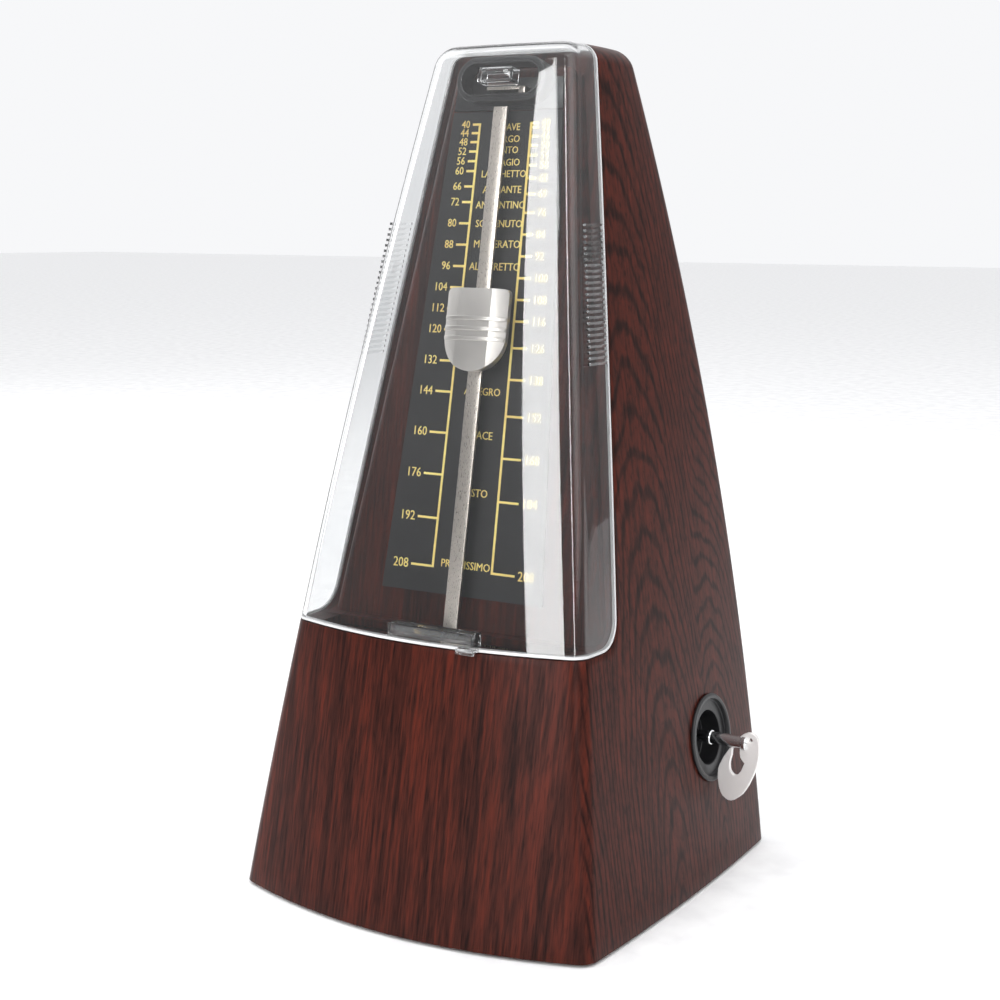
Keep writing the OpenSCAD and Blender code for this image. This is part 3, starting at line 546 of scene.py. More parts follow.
def brushed_group():
    """Fine lines along Z and soft patches, for satin and rolled metal."""
    tree, given, result = new_group(
        "satin_lines", [("Place", "NodeSocketVector", (0, 0, 0)),
                        ("Lines", "NodeSocketVector", (6000, 6000, 150))],
        [("Lines", "NodeSocketFloat"), ("Patches", "NodeSocketFloat")])
    scaled = put(tree, "ShaderNodeVectorMath",
                 {0: given.outputs["Place"], 1: given.outputs["Lines"]}, operation="MULTIPLY")
    feed(result, {"Lines": noise(tree, scaled.outputs[0], 1.0, 2.0),
                  "Patches": noise(tree, given.outputs["Place"], 130.0, 3.0)})
    return tree


def grip_group():
    """Fine moulded pimples and soft patches, for plastic and rubber."""
    tree, given, result = new_group(
        "moulded_skin", [("Place", "NodeSocketVector", (0, 0, 0)),
                         ("Size", "NodeSocketFloat", 2500.0)],
        [("Pimples", "NodeSocketFloat"), ("Patches", "NodeSocketFloat")])
    place = given.outputs["Place"]
    feed(result, {"Pimples": noise(tree, place, given.outputs["Size"], 2.0),
                  "Patches": noise(tree, place, 90.0, 3.0)})
    return tree


def shared_group(name, maker):
    return bpy.data.node_groups.get(name) or maker()


# ---------------------------------------------------------------- materials
def new_material(name):
    """An empty material, with its shader and its texture coordinates."""
    material = bpy.data.materials.new(name)
    material.use_nodes = True
    tree = material.node_tree
    tree.nodes.clear()
    shader = tree.nodes.new("ShaderNodeBsdfPrincipled")
    put(tree, "ShaderNodeOutputMaterial", {0: shader.outputs[0]})
    return material, tree, shader, tree.nodes.new("ShaderNodeTexCoord").outputs


def add_bump(tree, shader, height, strength, distance):
    bump = put(tree, "ShaderNodeBump",
               {"Strength": strength, "Distance": distance, "Height": height})
    feed(shader, {"Normal": bump.outputs[0]})


def wood_material():
    found = bpy.data.materials.get("mahogany_film")
    if found:
        return found
    material, tree, shader, place = new_material("mahogany_film")
    shade = colours()
    grain = put(tree, "ShaderNodeGroup",
                {"Place": place["Object"], "Normal": place["Normal"],
                 "Dark": (*shade.wood_dark, 1), "Mid": (*shade.wood_mid, 1),
                 "Red": (*shade.wood_red, 1)},
                node_tree=shared_group("mahogany_grain", grain_group)).outputs
    feed(shader, {"Base Color": grain["Colour"],
                  "Roughness": ramp(tree, grain["Gloss"], [(0.3, 0.38), (0.7, 0.3)])})
    shader.inputs["Specular IOR Level"].default_value = 0.1
    add_bump(tree, shader, grain["Height"], 0.12, 0.0001)
    return material


def metal_material(name, colour, rough, lines=(6000, 6000, 150), wear=0.1, metallic=1.0):
    """Satin, rolled or turned metal with fine lines."""
    found = bpy.data.materials.get(name)
    if found:
        return found
    material, tree, shader, place = new_material(name)
    brushed = put(tree, "ShaderNodeGroup", {"Place": place["Object"], "Lines": lines},
                  node_tree=shared_group("satin_lines", brushed_group)).outputs
    darker = tuple(value * (1 - wear) for value in colour)
    feed(shader, {"Base Color": ramp(tree, brushed["Patches"], [(0.35, darker), (0.65, colour)]),
                  "Roughness": ramp(tree, brushed["Lines"], [(0.3, max(rough - 0.05, 0.02)),
                                                             (0.7, rough + 0.05)])})
    shader.inputs["Metallic"].default_value = metallic
    add_bump(tree, shader, brushed["Lines"], 0.03, 0.00005)
    return material


def moulded_material(name, colour, rough, strength=0.1, size=2500.0):
    """Plastic, paint or rubber with a fine moulded skin."""
    found = bpy.data.materials.get(name)
    if found:
        return found
    material, tree, shader, place = new_material(name)
    skin_node = put(tree, "ShaderNodeGroup", {"Place": place["Object"], "Size": size},
                    node_tree=shared_group("moulded_skin", grip_group)).outputs
    lighter = tuple(min(value * 1.25 + 0.001, 1) for value in colour)
    feed(shader, {"Base Color": ramp(tree, skin_node["Patches"],
                                     [(0.35, colour), (0.65, lighter)]),
                  "Roughness": ramp(tree, skin_node["Pimples"],
                                    [(0.3, rough - 0.04), (0.7, rough + 0.04)])})
    add_bump(tree, shader, skin_node["Pimples"], strength, 0.00006)
    return material


def cloudy_material(name, size, detail, tints, roughs, transmission):
    """Acrylic whose colour and gloss drift a little; tints and roughs are ramp stops."""
    found = bpy.data.materials.get(name)
    if found:
        return found
    material, tree, shader, place = new_material(name)
    cloud = noise(tree, place["Object"], size, detail)
    feed(shader, {"Base Color": ramp(tree, cloud, tints), "Roughness": ramp(tree, cloud, roughs)})
    shader.inputs["Metallic"].default_value = 0.0
    shader.inputs["Transmission Weight"].default_value = transmission
    shader.inputs["IOR"].default_value = 1.49
    return material


def clear_material():
    return cloudy_material("clear_acrylic", 45.0, 3.0,
                           [(0.3, (0.985, 0.99, 0.99)), (0.7, (0.96, 0.97, 0.975))],
                           [(0.4, 0.012), (0.8, 0.05)], 1.0)


def cut_edge_material():
    """The clear cover's thick cut edge, which gathers light and looks white."""
    return cloudy_material("bright_cut_edge", 60.0, 2.0,
                           [(0.3, (0.84, 0.85, 0.86)), (0.7, (0.95, 0.95, 0.95))],
                           [(0.3, 0.12), (0.7, 0.22)], 0.35)


def black_material():
    return moulded_material("black_satin", tuple(colours().black), 0.34, 0.012)


def print_material():
    return moulded_material("gold_print", tuple(colours().print_gold), 0.42, 0.05)


def nickel_material():
    return metal_material("satin_nickel", tuple(colours().nickel), 0.3, wear=0.06)


def plate_material():
    return metal_material("satin_nickel_plate", (0.88, 0.855, 0.84), 0.42, (2500, 2500, 2500),
                          0.04, 0.6)


def weight_material():
    return metal_material("bead_blasted_nickel", (0.62, 0.59, 0.56), 0.34, (2500, 2500, 2500),
                          0.05)


def chrome_material():
    return metal_material("bright_chrome", (0.86, 0.87, 0.88), 0.1, (300, 5000, 5000), 0.03)


def brass_material():
    return metal_material("rolled_brass", tuple(colours().brass), 0.26)


def turned_brass_material():
    return metal_material("turned_brass", tuple(colours().brass), 0.2, (5000, 900, 900))


def steel_material():
    return metal_material("polished_steel", (0.62, 0.63, 0.65), 0.16, (600, 4000, 4000))


def plated_material():
    return metal_material("plated_steel", (0.5, 0.51, 0.53), 0.36, (2500, 150, 2500))


def spring_material():
    return metal_material("blued_spring", (0.30, 0.33, 0.40), 0.24)


def iron_material():
    return metal_material("cast_iron", (0.16, 0.165, 0.17), 0.55, (700, 700, 700), 0.3)


def paint(material, *nodes):
    """CAD nodes keep their meshes and take a material."""
    for node in nodes:
        piece = frame["nodes"][node]
        for slot in piece.material_slots:
            slot.material = material
        if not piece.material_slots:
            piece.data.materials.append(material)


# ---------------------------------------------------------------- shells
def zone_prism(name, grow, width=140.0):
    """The space of the cover, as wide as the case."""
    return prism(name, cover_zone(grow), -width / 2, width / 2, lambda u, v, w: (w, u, v))


def box_block(name, low, high, place=lambda x, y, z: (x, y, z)):
    """A cube between two corners, laid by place."""
    clear_selection()
    bpy.ops.mesh.primitive_cube_add(size=1)
    piece = bpy.context.active_object
    piece.name = piece.data.name = name
    for vertex in piece.data.vertices:
        spot = [low[k] if vertex.co[k] < 0 else high[k] for k in range(3)]
        vertex.co = Vector(place(*spot)) * MM
    piece.data.update()
    return tidy_mesh(piece, 0.0001)


EASE_STEPS = 4


def ring_prism(name, outer, inner, low, high, place, edge):
    """A wall between two outlines of equally many points, with eased upper edges."""
    def level(outline, w):
        return [place(u, v, w) for u, v in outline]

    def between(share):
        return [(a[0] + (b[0] - a[0]) * share, a[1] + (b[1] - a[1]) * share)
                for a, b in zip(outer, inner)]

    ease = edge / math.dist(outer[0], inner[0])
    rows = [level(outer, low), level(outer, high - edge)]
    for i in range(1, EASE_STEPS + 1):
        angle = math.pi / 2 * i / EASE_STEPS
        rows.append(level(between(ease * (1 - math.cos(angle))),
                          high - edge + edge * math.sin(angle)))
    for i in range(EASE_STEPS):
        angle = math.pi / 2 * i / EASE_STEPS
        rows.append(level(between(1 - ease * (1 - math.sin(angle))),
                          high - edge + edge * math.cos(angle)))
    rows += [level(inner, high - edge), level(inner, low), level(outer, low)]
    return skin(name, rows)


def bezel_tilt():
    radius = sizes().bezel_radius
    fall = side_x(KEY_AXIS.z - radius) - side_x(KEY_AXIS.z + radius)
    return math.atan(fall / (2 * radius))


def on_bezel(u, v, w):
    """w out of the case wall at the key, v to the back, u down the wall."""
    tilt = bezel_tilt()
    wall = side_x(KEY_AXIS.z)
    return (wall + w * math.cos(tilt) + u * math.sin(tilt), KEY_AXIS.y + v,
            KEY_AXIS.z + w * math.sin(tilt) - u * math.cos(tilt))


def top_corners(half, top, radius, steps):
    """The two rounded upper corners of an outline, right one first."""
    points = []
    for side in (1, -1):
        for i in range(steps + 1):
            turn = math.pi / 2 * (i / steps if side > 0 else 1 - i / steps)
            points.append((side * (half - radius + radius * math.cos(turn)),
                           top - radius + radius * math.sin(turn)))
    return points


def round_outline(radius, steps):
    return [(radius * math.cos(math.tau * i / steps), radius * math.sin(math.tau * i / steps))
            for i in range(steps)]


class METRONOME_OT_case(bpy.types.Operator):
    """Case shell with its slot tray, and the raised panel behind the scale"""
    bl_idname = "metronome.case"
    bl_label = "Case"

    FOOT = 0.8
    SLOT_FRONT, SLOT_REAR, SLOT_SIDE, SLOT_DEEP = 33.5, 24.6, 8.1, 5.0
    HOLE_LAP, HOLE_DEEP = 1.2, 8
    PANEL_SIDE, PANEL_CORNER, PANEL_EASE, PANEL_STEPS, CORNER_STEPS = 2.6, 3.0, 2.6, 7, 6
    FIT = 0.05

    def shell(self):
        s = sizes()
        body = skin("case_body", body_rows(0, self.FOOT))
        cut(body, zone_prism("zone", 0))
        cavity = skin("cavity", body_rows(s.case_wall, -1, 30, 5))
        cut(cavity, zone_prism("zone", s.case_wall))
        cut(body, cavity)
        half = side_x(s.sill_height) - self.SLOT_SIDE
        slot = box_block("slot", (-half, -self.SLOT_FRONT, s.sill_height - self.SLOT_DEEP),
                         (half, -self.SLOT_REAR, s.sill_height + self.SLOT_DEEP))
        cut(body, slot)
        cut(body, prism("hole", round_outline(s.bezel_radius - self.HOLE_LAP, 64),
                        -self.HOLE_DEEP, self.HOLE_DEEP, on_bezel))
        bevel(body, 0.28, 2, 40)
        finish_piece(body, 30, wood_material(), "case", "mahogany_case", "case_shell")

    def panel(self):
        s = sizes()
        low = along_panel(s.sill_height + self.FIT)
        top = s.case_height - PANEL_TOP_DROP
        ease = self.PANEL_EASE

        def half(z, inset):
            return side_x(z) - s.cover_wall - self.PANEL_SIDE - inset

        def outline(inset):
            wide = half(s.sill_height, inset)
            return [(-wide, low), (wide, low)] + top_corners(
                half(top, inset), along_panel(top) - inset, self.PANEL_CORNER,
                self.CORNER_STEPS)

        rows = [[on_panel(u, v, -s.panel_proud) for u, v in outline(0)]]
        for i in range(self.PANEL_STEPS + 1):
            turn = math.pi / 2 * i / self.PANEL_STEPS
            rows.append([on_panel(u, v, -ease * (1 - math.sin(turn)))
                         for u, v in outline(ease * (1 - math.cos(turn)))])
        relief = skin("panel_relief", rows)
        cut(relief, zone_prism("zone", -self.FIT), "INTERSECT")
        finish_piece(relief, 30, wood_material(), "case", "mahogany_panel", "front_panel")

    def execute(self, context):
        self.shell()
        self.panel()
        return {"FINISHED"}


class METRONOME_OT_cover(bpy.types.Operator):
    """Clear front cover with its bright cut rim, ribbed grips, tabs and nail lip"""
    bl_idname = "metronome.cover"
    bl_label = "Clear cover"

    BELOW_SILL = 4.0
    RIBS, RIB_LOW, RIB_STEP, RIB_LONG, RIB_HIGH = 25, 129.5, 1.3, 8.0, 0.62
    RIB_PROUD, RIB_SUNK, RIB_REAR = 0.28, 0.5, 2.2
    RIM, RIM_GAP = 0.6, 0.03
    TAB_X, TAB_W, TAB_H, TAB_WALL, TAB_REAR = 2.6, 23.4, 3.4, 0.8, 35.2
    LIP_LEFT, LIP_RIGHT, LIP_OUT = 11.6, 16.4, 1.3
    HOOD_TAB_DROP, HOOD_TAB_HALF, HOOD_TAB_H = 10.2, 4.6, 3.6
    HOLLOW_DEEP = 3.2

    def wall(self, name):
        s = sizes()
        low = s.sill_height - self.BELOW_SILL
        shell = skin(name, body_rows(0, low, 40, 8))
        cut(shell, skin("inside", body_rows(s.cover_wall, low - self.BELOW_SILL, 40, 8)))
        return shell

    def grips(self):
        ribs = []
        for i in range(self.RIBS):
            z = self.RIB_LOW + i * self.RIB_STEP
            rear = joint_y(z) - self.RIB_REAR
            for side in (-1, 1):
                near, far = sorted((side * (side_x(z) - self.RIB_SUNK),
                                    side * (side_x(z) + self.RIB_PROUD)))
                ribs.append(box_block("rib", (near, rear - self.RIB_LONG, z - self.RIB_HIGH / 2),
                                      (far, rear, z + self.RIB_HIGH / 2)))
        return join("ribs", ribs)

    def tabs(self):
        """Channel on the sill, and the small box that reaches into the rod's hood."""
        s = sizes()
        front = front_y(s.sill_height) + s.cover_wall
        low = s.sill_height + s.cover_gap
        left, right = self.TAB_X - self.TAB_W / 2, self.TAB_X + self.TAB_W / 2
        wall = self.TAB_WALL
        sill_tab = box_block("sill_tab", (left, front + 0.5, low),
                             (right, -self.TAB_REAR, low + self.TAB_H))
        cut(sill_tab, box_block("pocket", (left + wall, front + 1.4, low + wall),
                                (right - wall, -self.TAB_REAR - wall, low + 9)))
        bevel(sill_tab, 0.22, 2)
        lip_y = front_y(s.sill_height)
        lip = join("nail_lip", [
            box_block("lip", (self.LIP_LEFT, lip_y - self.LIP_OUT, low + 0.1),
                      (self.LIP_RIGHT, lip_y + 1.1, low + 0.8)),
            box_block("lip", (self.LIP_LEFT, lip_y - self.LIP_OUT, low - 0.5),
                      (self.LIP_RIGHT, lip_y - 0.7, low + 0.4))])
        bevel(lip, 0.15, 2)
        top_z = s.case_height - self.HOOD_TAB_DROP
        top, half = along_rod(top_z), self.HOOD_TAB_HALF
        reach = (rod_y(top_z) - front_y(top_z)) * math.cos(LEAN)

        def ahead(x, out, up):
            return in_swing(x, -out, up)

        hood_tab = box_block("hood_tab", (-half, 0.7, top),
                             (half, reach - 1.2, top + self.HOOD_TAB_H), ahead)
        cut(hood_tab, box_block("hollow", (wall - half, -2, top + wall),
                                (half - wall, self.HOLLOW_DEEP, top + self.HOOD_TAB_H - wall),
                                ahead))
        bevel(hood_tab, 0.22, 2)
        tabs = join("cover_tabs", [sill_tab, hood_tab, lip])
        finish_piece(tabs, 28, clear_material(), "cover", "clear_cover")

    def execute(self, context):
        gap = sizes().cover_gap
        shell = self.wall("clear_cover")
        rim = copy_of(shell, "cover_rim")
        cut(shell, zone_prism("zone", -gap - self.RIM), "INTERSECT")
        cut(rim, zone_prism("zone", -gap), "INTERSECT")
        cut(rim, zone_prism("zone", -gap - self.RIM - self.RIM_GAP))
        cut(shell, self.grips(), "UNION")
        bevel(rim, 0.15, 2, 50)
        finish_piece(shell, 28, clear_material(), "cover", "clear_cover", "front_cover")
        finish_piece(rim, 28, cut_edge_material(), "cover", "clear_cover")
        self.tabs()
        return {"FINISHED"}


# ---------------------------------------------------------------- scale
LEFT_TEMPOS = (40, 44, 48, 52, 56, 60, 66, 72, 80, 88, 96, 104, 112, 120, 132, 144, 160,
               176, 192, 208)
RIGHT_TEMPOS = (40, 42, 46, 50, 54, 58, 63, 69, 76, 84, 92, 100, 108, 116, 126, 138, 152,
                168, 184, 208)
# Tempo words with their heights and letter sizes.
WORDS = (("GRAVE", 183.2, 2.4), ("LARGO", 180.4, 2.4), ("LENTO", 177.8, 2.4),
         ("ADAGIO", 174.9, 2.4), ("LARGHETTO", 172.2, 2.4), ("ANDANTE", 168.5, 2.5),
         ("ANDANTINO", 164.9, 2.5), ("SOSTENUTO", 160.5, 2.5), ("MODERATO", 155.7, 2.6),
         ("ALLEGRETTO", 150.4, 2.6), ("ALLEGRO", 121.1, 2.6), ("VIVACE", 110.9, 2.7),
         ("PRESTO", 97.4, 2.7), ("PRESTISSIMO", 80.4, 2.7))
GRAVITY = 9810.0
MOMENT_TERM = 133.98   # the rod's and counterweight's pull over the weight's mass, in mm
INERTIA_TERM = 9148.7  # their inertia over the weight's mass, in mm2
MARK_BASE_Z, MARK_SPREAD = 60.3, 1.021
SLOWEST, FASTEST = 40, 208
PRINT_THICK, PRINT_NARROW = 0.12, 0.9


def mark_z(tempo):
    """Height of a tempo's mark, from the law of a pendulum with a counterweight."""
    rate = (math.pi * tempo / 60) ** 2
    root = math.sqrt(GRAVITY ** 2 + 4 * rate * (GRAVITY * MOMENT_TERM - rate * INERTIA_TERM))
    return MARK_BASE_Z + MARK_SPREAD * (root - GRAVITY) / (2 * rate) * math.cos(LEAN)


def printed_text(words, size, align, x, z):
    """Raised print of a word on the scale plate."""
    clear_selection()
    bpy.ops.object.text_add()
    text = bpy.context.active_object
    text.data.body = words
    text.data.size = size * MM
    text.data.align_x = align
    text.data.align_y = "CENTER"
    text.data.resolution_u = 2
    text.data.extrude = PRINT_THICK / 2 * MM
    bpy.ops.object.convert(target="MESH")
    piece = bpy.context.active_object
    piece.scale.x = PRINT_NARROW
    out = sizes().plate_thickness + PRINT_THICK / 2
    piece.location = Vector(on_panel(x, along_panel(z), out)) * MM
    piece.rotation_euler = (math.pi / 2 - LEAN, 0, 0)
    only(piece)
    bpy.ops.object.transform_apply(location=True, rotation=True, scale=True)
    return piece


class METRONOME_OT_scale(bpy.types.Operator):
    """Black scale plate with its lines, numbers and tempo words"""
    bl_idname = "metronome.scale"
    bl_label = "Scale"

    LINE_LOW, LINE_HIGH, TICK_LOW, TICK_HIGH, SPACE = 8.3, 7.1, 6.2, 2.0, 0.8
    NUMBER_SIZE, NUMBER_SHRINK, WORD_X = 3.3, 0.7, 0.8

    def number_x(self, share):
        """Distance of a number from the middle; share runs from the foot to the top."""
        line = self.LINE_LOW + (self.LINE_HIGH - self.LINE_LOW) * share
        return line + self.TICK_LOW + (self.TICK_HIGH - self.TICK_LOW) * share + self.SPACE

    def execute(self, context):
        paint(black_material(), "scale_plate")
        paint(print_material(), "scale_marks")
        numbers = []
        for side, tempos in ((-1, LEFT_TEMPOS), (1, RIGHT_TEMPOS)):
            for tempo in tempos:
                z = mark_z(tempo)
                share = (z - mark_z(FASTEST)) / (mark_z(SLOWEST) - mark_z(FASTEST))
                numbers.append(printed_text(
                    str(tempo), self.NUMBER_SIZE - self.NUMBER_SHRINK * share,
                    "LEFT" if side > 0 else "RIGHT", side * self.number_x(share), z))
        numbers = tidy_mesh(join("scale_numbers", numbers), 0.0001)
        finish_piece(numbers, None, print_material(), "case", "scale_print")
        words = [printed_text(word, size, "CENTER", self.WORD_X, z)
                 for word, z, size in WORDS]
        words = tidy_mesh(join("tempo_words", words), 0.0001)
        finish_piece(words, None, print_material(), "case", "scale_print")
        return {"FINISHED"}


class METRONOME_OT_hood(bpy.types.Operator):
    """Hood over the tip of the rod, with its spring leaf"""
    bl_idname = "metronome.hood"
    bl_label = "Rod hood"

    WIDTH, HEIGHT, DEEP, WALL, DROP = 24.4, 10.6, 4.2, 1.7, 14.6
    LIP, LIP_LOW, LIP_PROUD = 1.0, 0.4, 0.45
    BACK_HALF, BACK_TAPER, BACK_GAP, BACK_DROP = 14.9, 0.6, 0.25, 3.0
    LEAF_UP, LEAF_THICK, LEAF_WIDE = 1.4, 0.8, 2.6

    def execute(self, context):
        s = sizes()
        base = s.plate_thickness
        foot = along_panel(s.case_height - self.DROP)
        low = along_panel(PLATE_HIGH.z) + self.BACK_GAP
        high = along_panel(s.case_height - PANEL_TOP_DROP) - self.BACK_DROP

        def ring(inset):
            return [(u, foot + self.HEIGHT / 2 + v)
                    for u, v in stadium(self.WIDTH - inset, self.HEIGHT - inset)]

        inner = 2 * self.WALL
        outer = ring_prism("hood", ring(0), ring(inner), base - 0.05, base + self.DEEP,
                           on_panel, 0.35)
        lip = ring_prism("lip", ring(inner - self.LIP), ring(inner), base + self.LIP_LOW,
                         base + self.DEEP + self.LIP_PROUD, on_panel, 0.2)
        half, taper = self.BACK_HALF, self.BACK_TAPER
        back = prism("back", [(-half, low), (half, low), (half - taper, high),
                              (taper - half, high)], 0, base, on_panel)
        bevel(back, 0.15, 2)
        hood = join("hood", [outer, lip, back])
        finish_piece(hood, 30, black_material(), "case", "black_moulding", "rod_rest_hood")
        leaf_z = foot + self.WALL + self.LEAF_UP
        top, front = leaf_z + self.LEAF_THICK, base + self.LEAF_WIDE
        leaf = join("spring_leaf", [
            box_block("leaf", (-4.6, leaf_z, base), (4.4, top, front), on_panel),
            box_block("bend", (4.2, leaf_z - 0.9, base), (6.0, top, front), on_panel)])
        bevel(leaf, 0.15, 2)
        finish_piece(leaf, 32, nickel_material(), "case", "spring_steel", "rod_rest_spring")
        return {"FINISHED"}


class METRONOME_OT_key(bpy.types.Operator):
    """Winding key with its stepped bezel, shaft and finger plate"""
    bl_idname = "metronome.key"
    bl_label = "Winding key"

    def bezel(self):
        """Profile from the tube's rear over the flange and a ledge to the shaft's hole."""
        r = sizes().bezel_radius
        profile = [(r - 1.3, -7.0), (r - 1.3, -0.1), (r - 1.3, 0.0), (r - 0.1, 0.0), (r, 0.15),
                   (r, 0.5), (r - 0.25, 0.75), (r - 0.45, 0.8), (r - 0.95, 0.8),
                   (r - 1.15, 0.7), (r - 1.25, 0.5), (r - 1.35, -0.3), (r - 1.5, -0.4),
                   (r - 3.9, -0.4), (r - 4.1, -0.55), (r - 4.1, -5.3), (r - 4.2, -5.4),
                   (2.9, -5.4), (2.75, -5.5), (2.75, -7.0), (r - 1.3, -7.0)]
        piece = lathe("key_bezel_ring", profile, on_bezel, 96)
        finish_piece(piece, 30, black_material(), "case", "black_moulding", "key_bezel")

    def shaft(self):
        low, high = node_box("key_shaft")
        wall = side_x(KEY_AXIS.z)
        r = 1.55
        profile = [(0, low.x), (3.0, low.x), (3.0, low.x + 6), (r, low.x + 6),
                   (r, wall - 0.2), (1.75, wall - 0.15), (1.85, wall),
                   (1.85, wall + 0.4), (1.75, wall + 0.55), (r, wall + 0.6),
                   (r, high.x - 1.5), (1.75, high.x - 1.4), (1.85, high.x - 1.25),
                   (1.85, high.x - 0.4), (1.7, high.x - 0.25), (1.2, high.x - 0.2),
                   (1.1, high.x), (0.9, high.x), (0.8, high.x - 0.5), (0, high.x - 0.55)]
        piece = lathe("key_shaft_pin", profile, on_side_axis, 48)
        finish_piece(piece, 30, chrome_material(), "winding_key", "chrome_key", "key_shaft")

    HOOK_W, HOOK_H, HOOK_OUT, HOOK_HALF = 10.8, 18.0, 2.5, 0.55
    PIN_SHARE, PIN_UP, PIN_R = 0.79, 1.0, 0.55
    HOOK = ((0.54, 0.09), (0.62, 0.13), (0.71, 0.155), (0.81, 0.16), (0.89, 0.14),
            (0.95, 0.1), (0.985, 0.04), (1, -0.03), (1, -0.11), (0.99, -0.19), (0.965, -0.27),
            (0.93, -0.35), (0.88, -0.43), (0.82, -0.51), (0.76, -0.59), (0.69, -0.66),
            (0.61, -0.73), (0.52, -0.78), (0.43, -0.82), (0.35, -0.84), (0.27, -0.84),
            (0.2, -0.82), (0.13, -0.79), (0.08, -0.74), (0.04, -0.68), (0.02, -0.61),
            (0, -0.54), (0, -0.48), (0.01, -0.41), (0.04, -0.35), (0.14, -0.23), (0.28, -0.1),
            (0.32, -0.09), (0.34, -0.11), (0.33, -0.2), (0.3, -0.26), (0.285, -0.32),
            (0.29, -0.38), (0.31, -0.42), (0.35, -0.45), (0.395, -0.47), (0.44, -0.47),
            (0.49, -0.46), (0.53, -0.43), (0.57, -0.4), (0.6, -0.36), (0.65, -0.28),
            (0.6, -0.25), (0.55, -0.21), (0.53, -0.15), (0.53, -0.09))

    def plate(self):
        left = side_x(KEY_AXIS.z) + self.HOOK_OUT

        def in_plane(u, v, w):
            return (left + u, KEY_AXIS.y + w, KEY_AXIS.z + v)

        plate = prism("key_plate", [(u * self.HOOK_W, v * self.HOOK_H) for u, v in self.HOOK],
                      -self.HOOK_HALF, self.HOOK_HALF, in_plane)
        pin_hole = [(self.HOOK_W * self.PIN_SHARE + u, self.PIN_UP + v)
                    for u, v in round_outline(self.PIN_R, 20)]
        cut(plate, prism("pin_hole", pin_hole, -2, 2, in_plane))
        bevel(plate, 0.14, 2, 50)
        finish_piece(plate, 18, plate_material(), "winding_key", "satin_key", "key_wing")

    def execute(self, context):
        self.bezel()
        self.shaft()
        self.plate()
        paint(steel_material(), "winding_arbor", "ratchet_wheel")
        return {"FINISHED"}


class METRONOME_OT_pendulum(bpy.types.Operator):
    """Rod, sliding weight and counterweight"""
    bl_idname = "metronome.pendulum"
    bl_label = "Pendulum"

    ROD_W, ROD_T, ROD_LOW = 3.8, 0.8, -35.0
    WEIGHT_Z = 135.6
    WIDE, LONG, THICK, EDGE, FACET, CORNER = 16.8, 19.6, 2.6, 0.9, 4.4, 1.3
    RIBS, RIB_HALF, RIB_PROUD, RIB_INSET = (-2.1, 0.3, 2.7), 0.5, 0.42, 0.12

    def rod(self):
        high = along_rod(node_box("pendulum_rod")[1].z)
        rod = box_block("rod_strip", (-self.ROD_W / 2, self.ROD_LOW, -self.ROD_T / 2),
                        (self.ROD_W / 2, high, self.ROD_T / 2), on_rod)
        bevel(rod, 0.12, 2)
        finish_piece(rod, 32, nickel_material(), "pendulum", "satin_rod", "pendulum_rod")

    def outline(self, inset, steps=28):
        """Flat top with small round corners and a half-round bottom."""
        half = self.WIDE / 2 - inset
        centre = -self.LONG / 2 + self.WIDE / 2
        points = []
        for i in range(steps + 1):
            angle = math.pi + math.pi * i / steps
            points.append((half * math.cos(angle), centre + half * math.sin(angle)))
        return points + top_corners(half, self.LONG / 2 - inset, self.CORNER, 5)

    def facets(self, proud, side):
        """Cross-section with a flat face and two sloping ones."""
        half = self.WIDE / 2 + side
        thick = self.THICK + proud
        return [(-half, 0), (half, 0), (half, self.EDGE + proud), (self.FACET, thick),
                (-self.FACET, thick), (-half, self.EDGE + proud)]

    def weight(self, along):
        back = self.ROD_T / 2 + 0.2

        def place(u, v, w):
            return in_swing(u, -back - w, along + v)

        def bar(low, high, proud, trim):
            body = prism("bar", self.facets(proud, 1.0), low, high,
                         lambda u, v, w: place(u, w, v))
            cut(body, prism("trim", self.outline(trim), -1 if trim == 0 else 0.3, 6, place),
                "INTERSECT")
            return body

        body = bar(-self.LONG, self.LONG, 0.0, 0.0)
        cut(body, box_block("floor", (-20, -20, -3), (20, 20, 0), place))
        bevel(body, 0.22, 3, 12)
        parts = [body]
        for middle in self.RIBS:
            rib = bar(middle - self.RIB_HALF, middle + self.RIB_HALF, self.RIB_PROUD,
                      self.RIB_INSET)
            bevel(rib, 0.14, 2, 30)
            parts.append(rib)
        weight = join("weight_shell", parts)
        finish_piece(weight, 20, weight_material(), "sliding_weight", "satin_weight",
                     "weight_body")

    def execute(self, context):
        self.rod()
        self.weight(along_rod(self.WEIGHT_Z))
        paint(black_material(), "weight_slider")
        paint(spring_material(), "weight_spring")
        paint(iron_material(), "counterweight")
        paint(turned_brass_material(), "pendulum_hub")
        paint(steel_material(), "verge_arbor", "pallets")
        return {"FINISHED"}


class METRONOME_OT_movement(bpy.types.Operator):
    """Finishes of the clockwork: plates, wheels, barrel, arbors and click"""
    bl_idname = "metronome.movement"
    bl_label = "Movement"

    FINISHES = (
        (brass_material, ("left_frame_plate", "right_frame_plate", "front_potence",
                          "rear_potence")),
        (turned_brass_material, ("frame_pillars", "pivot_bushes", "click", "barrel",
                                 "barrel_cap", "great_wheel", "intermediate_wheel",
                                 "crown_wheel")),
        (steel_material, ("intermediate_arbor", "intermediate_pinion", "escape_arbor",
                          "escape_pinion", "click_screw", "pillar_screws", "bracket_screws")),
        (plated_material, ("mount_brackets",)),
        (spring_material, ("mainspring", "click_spring")),
    )

    def execute(self, context):
        for maker, nodes in self.FINISHES:
            paint(maker(), *nodes)
        return {"FINISHED"}


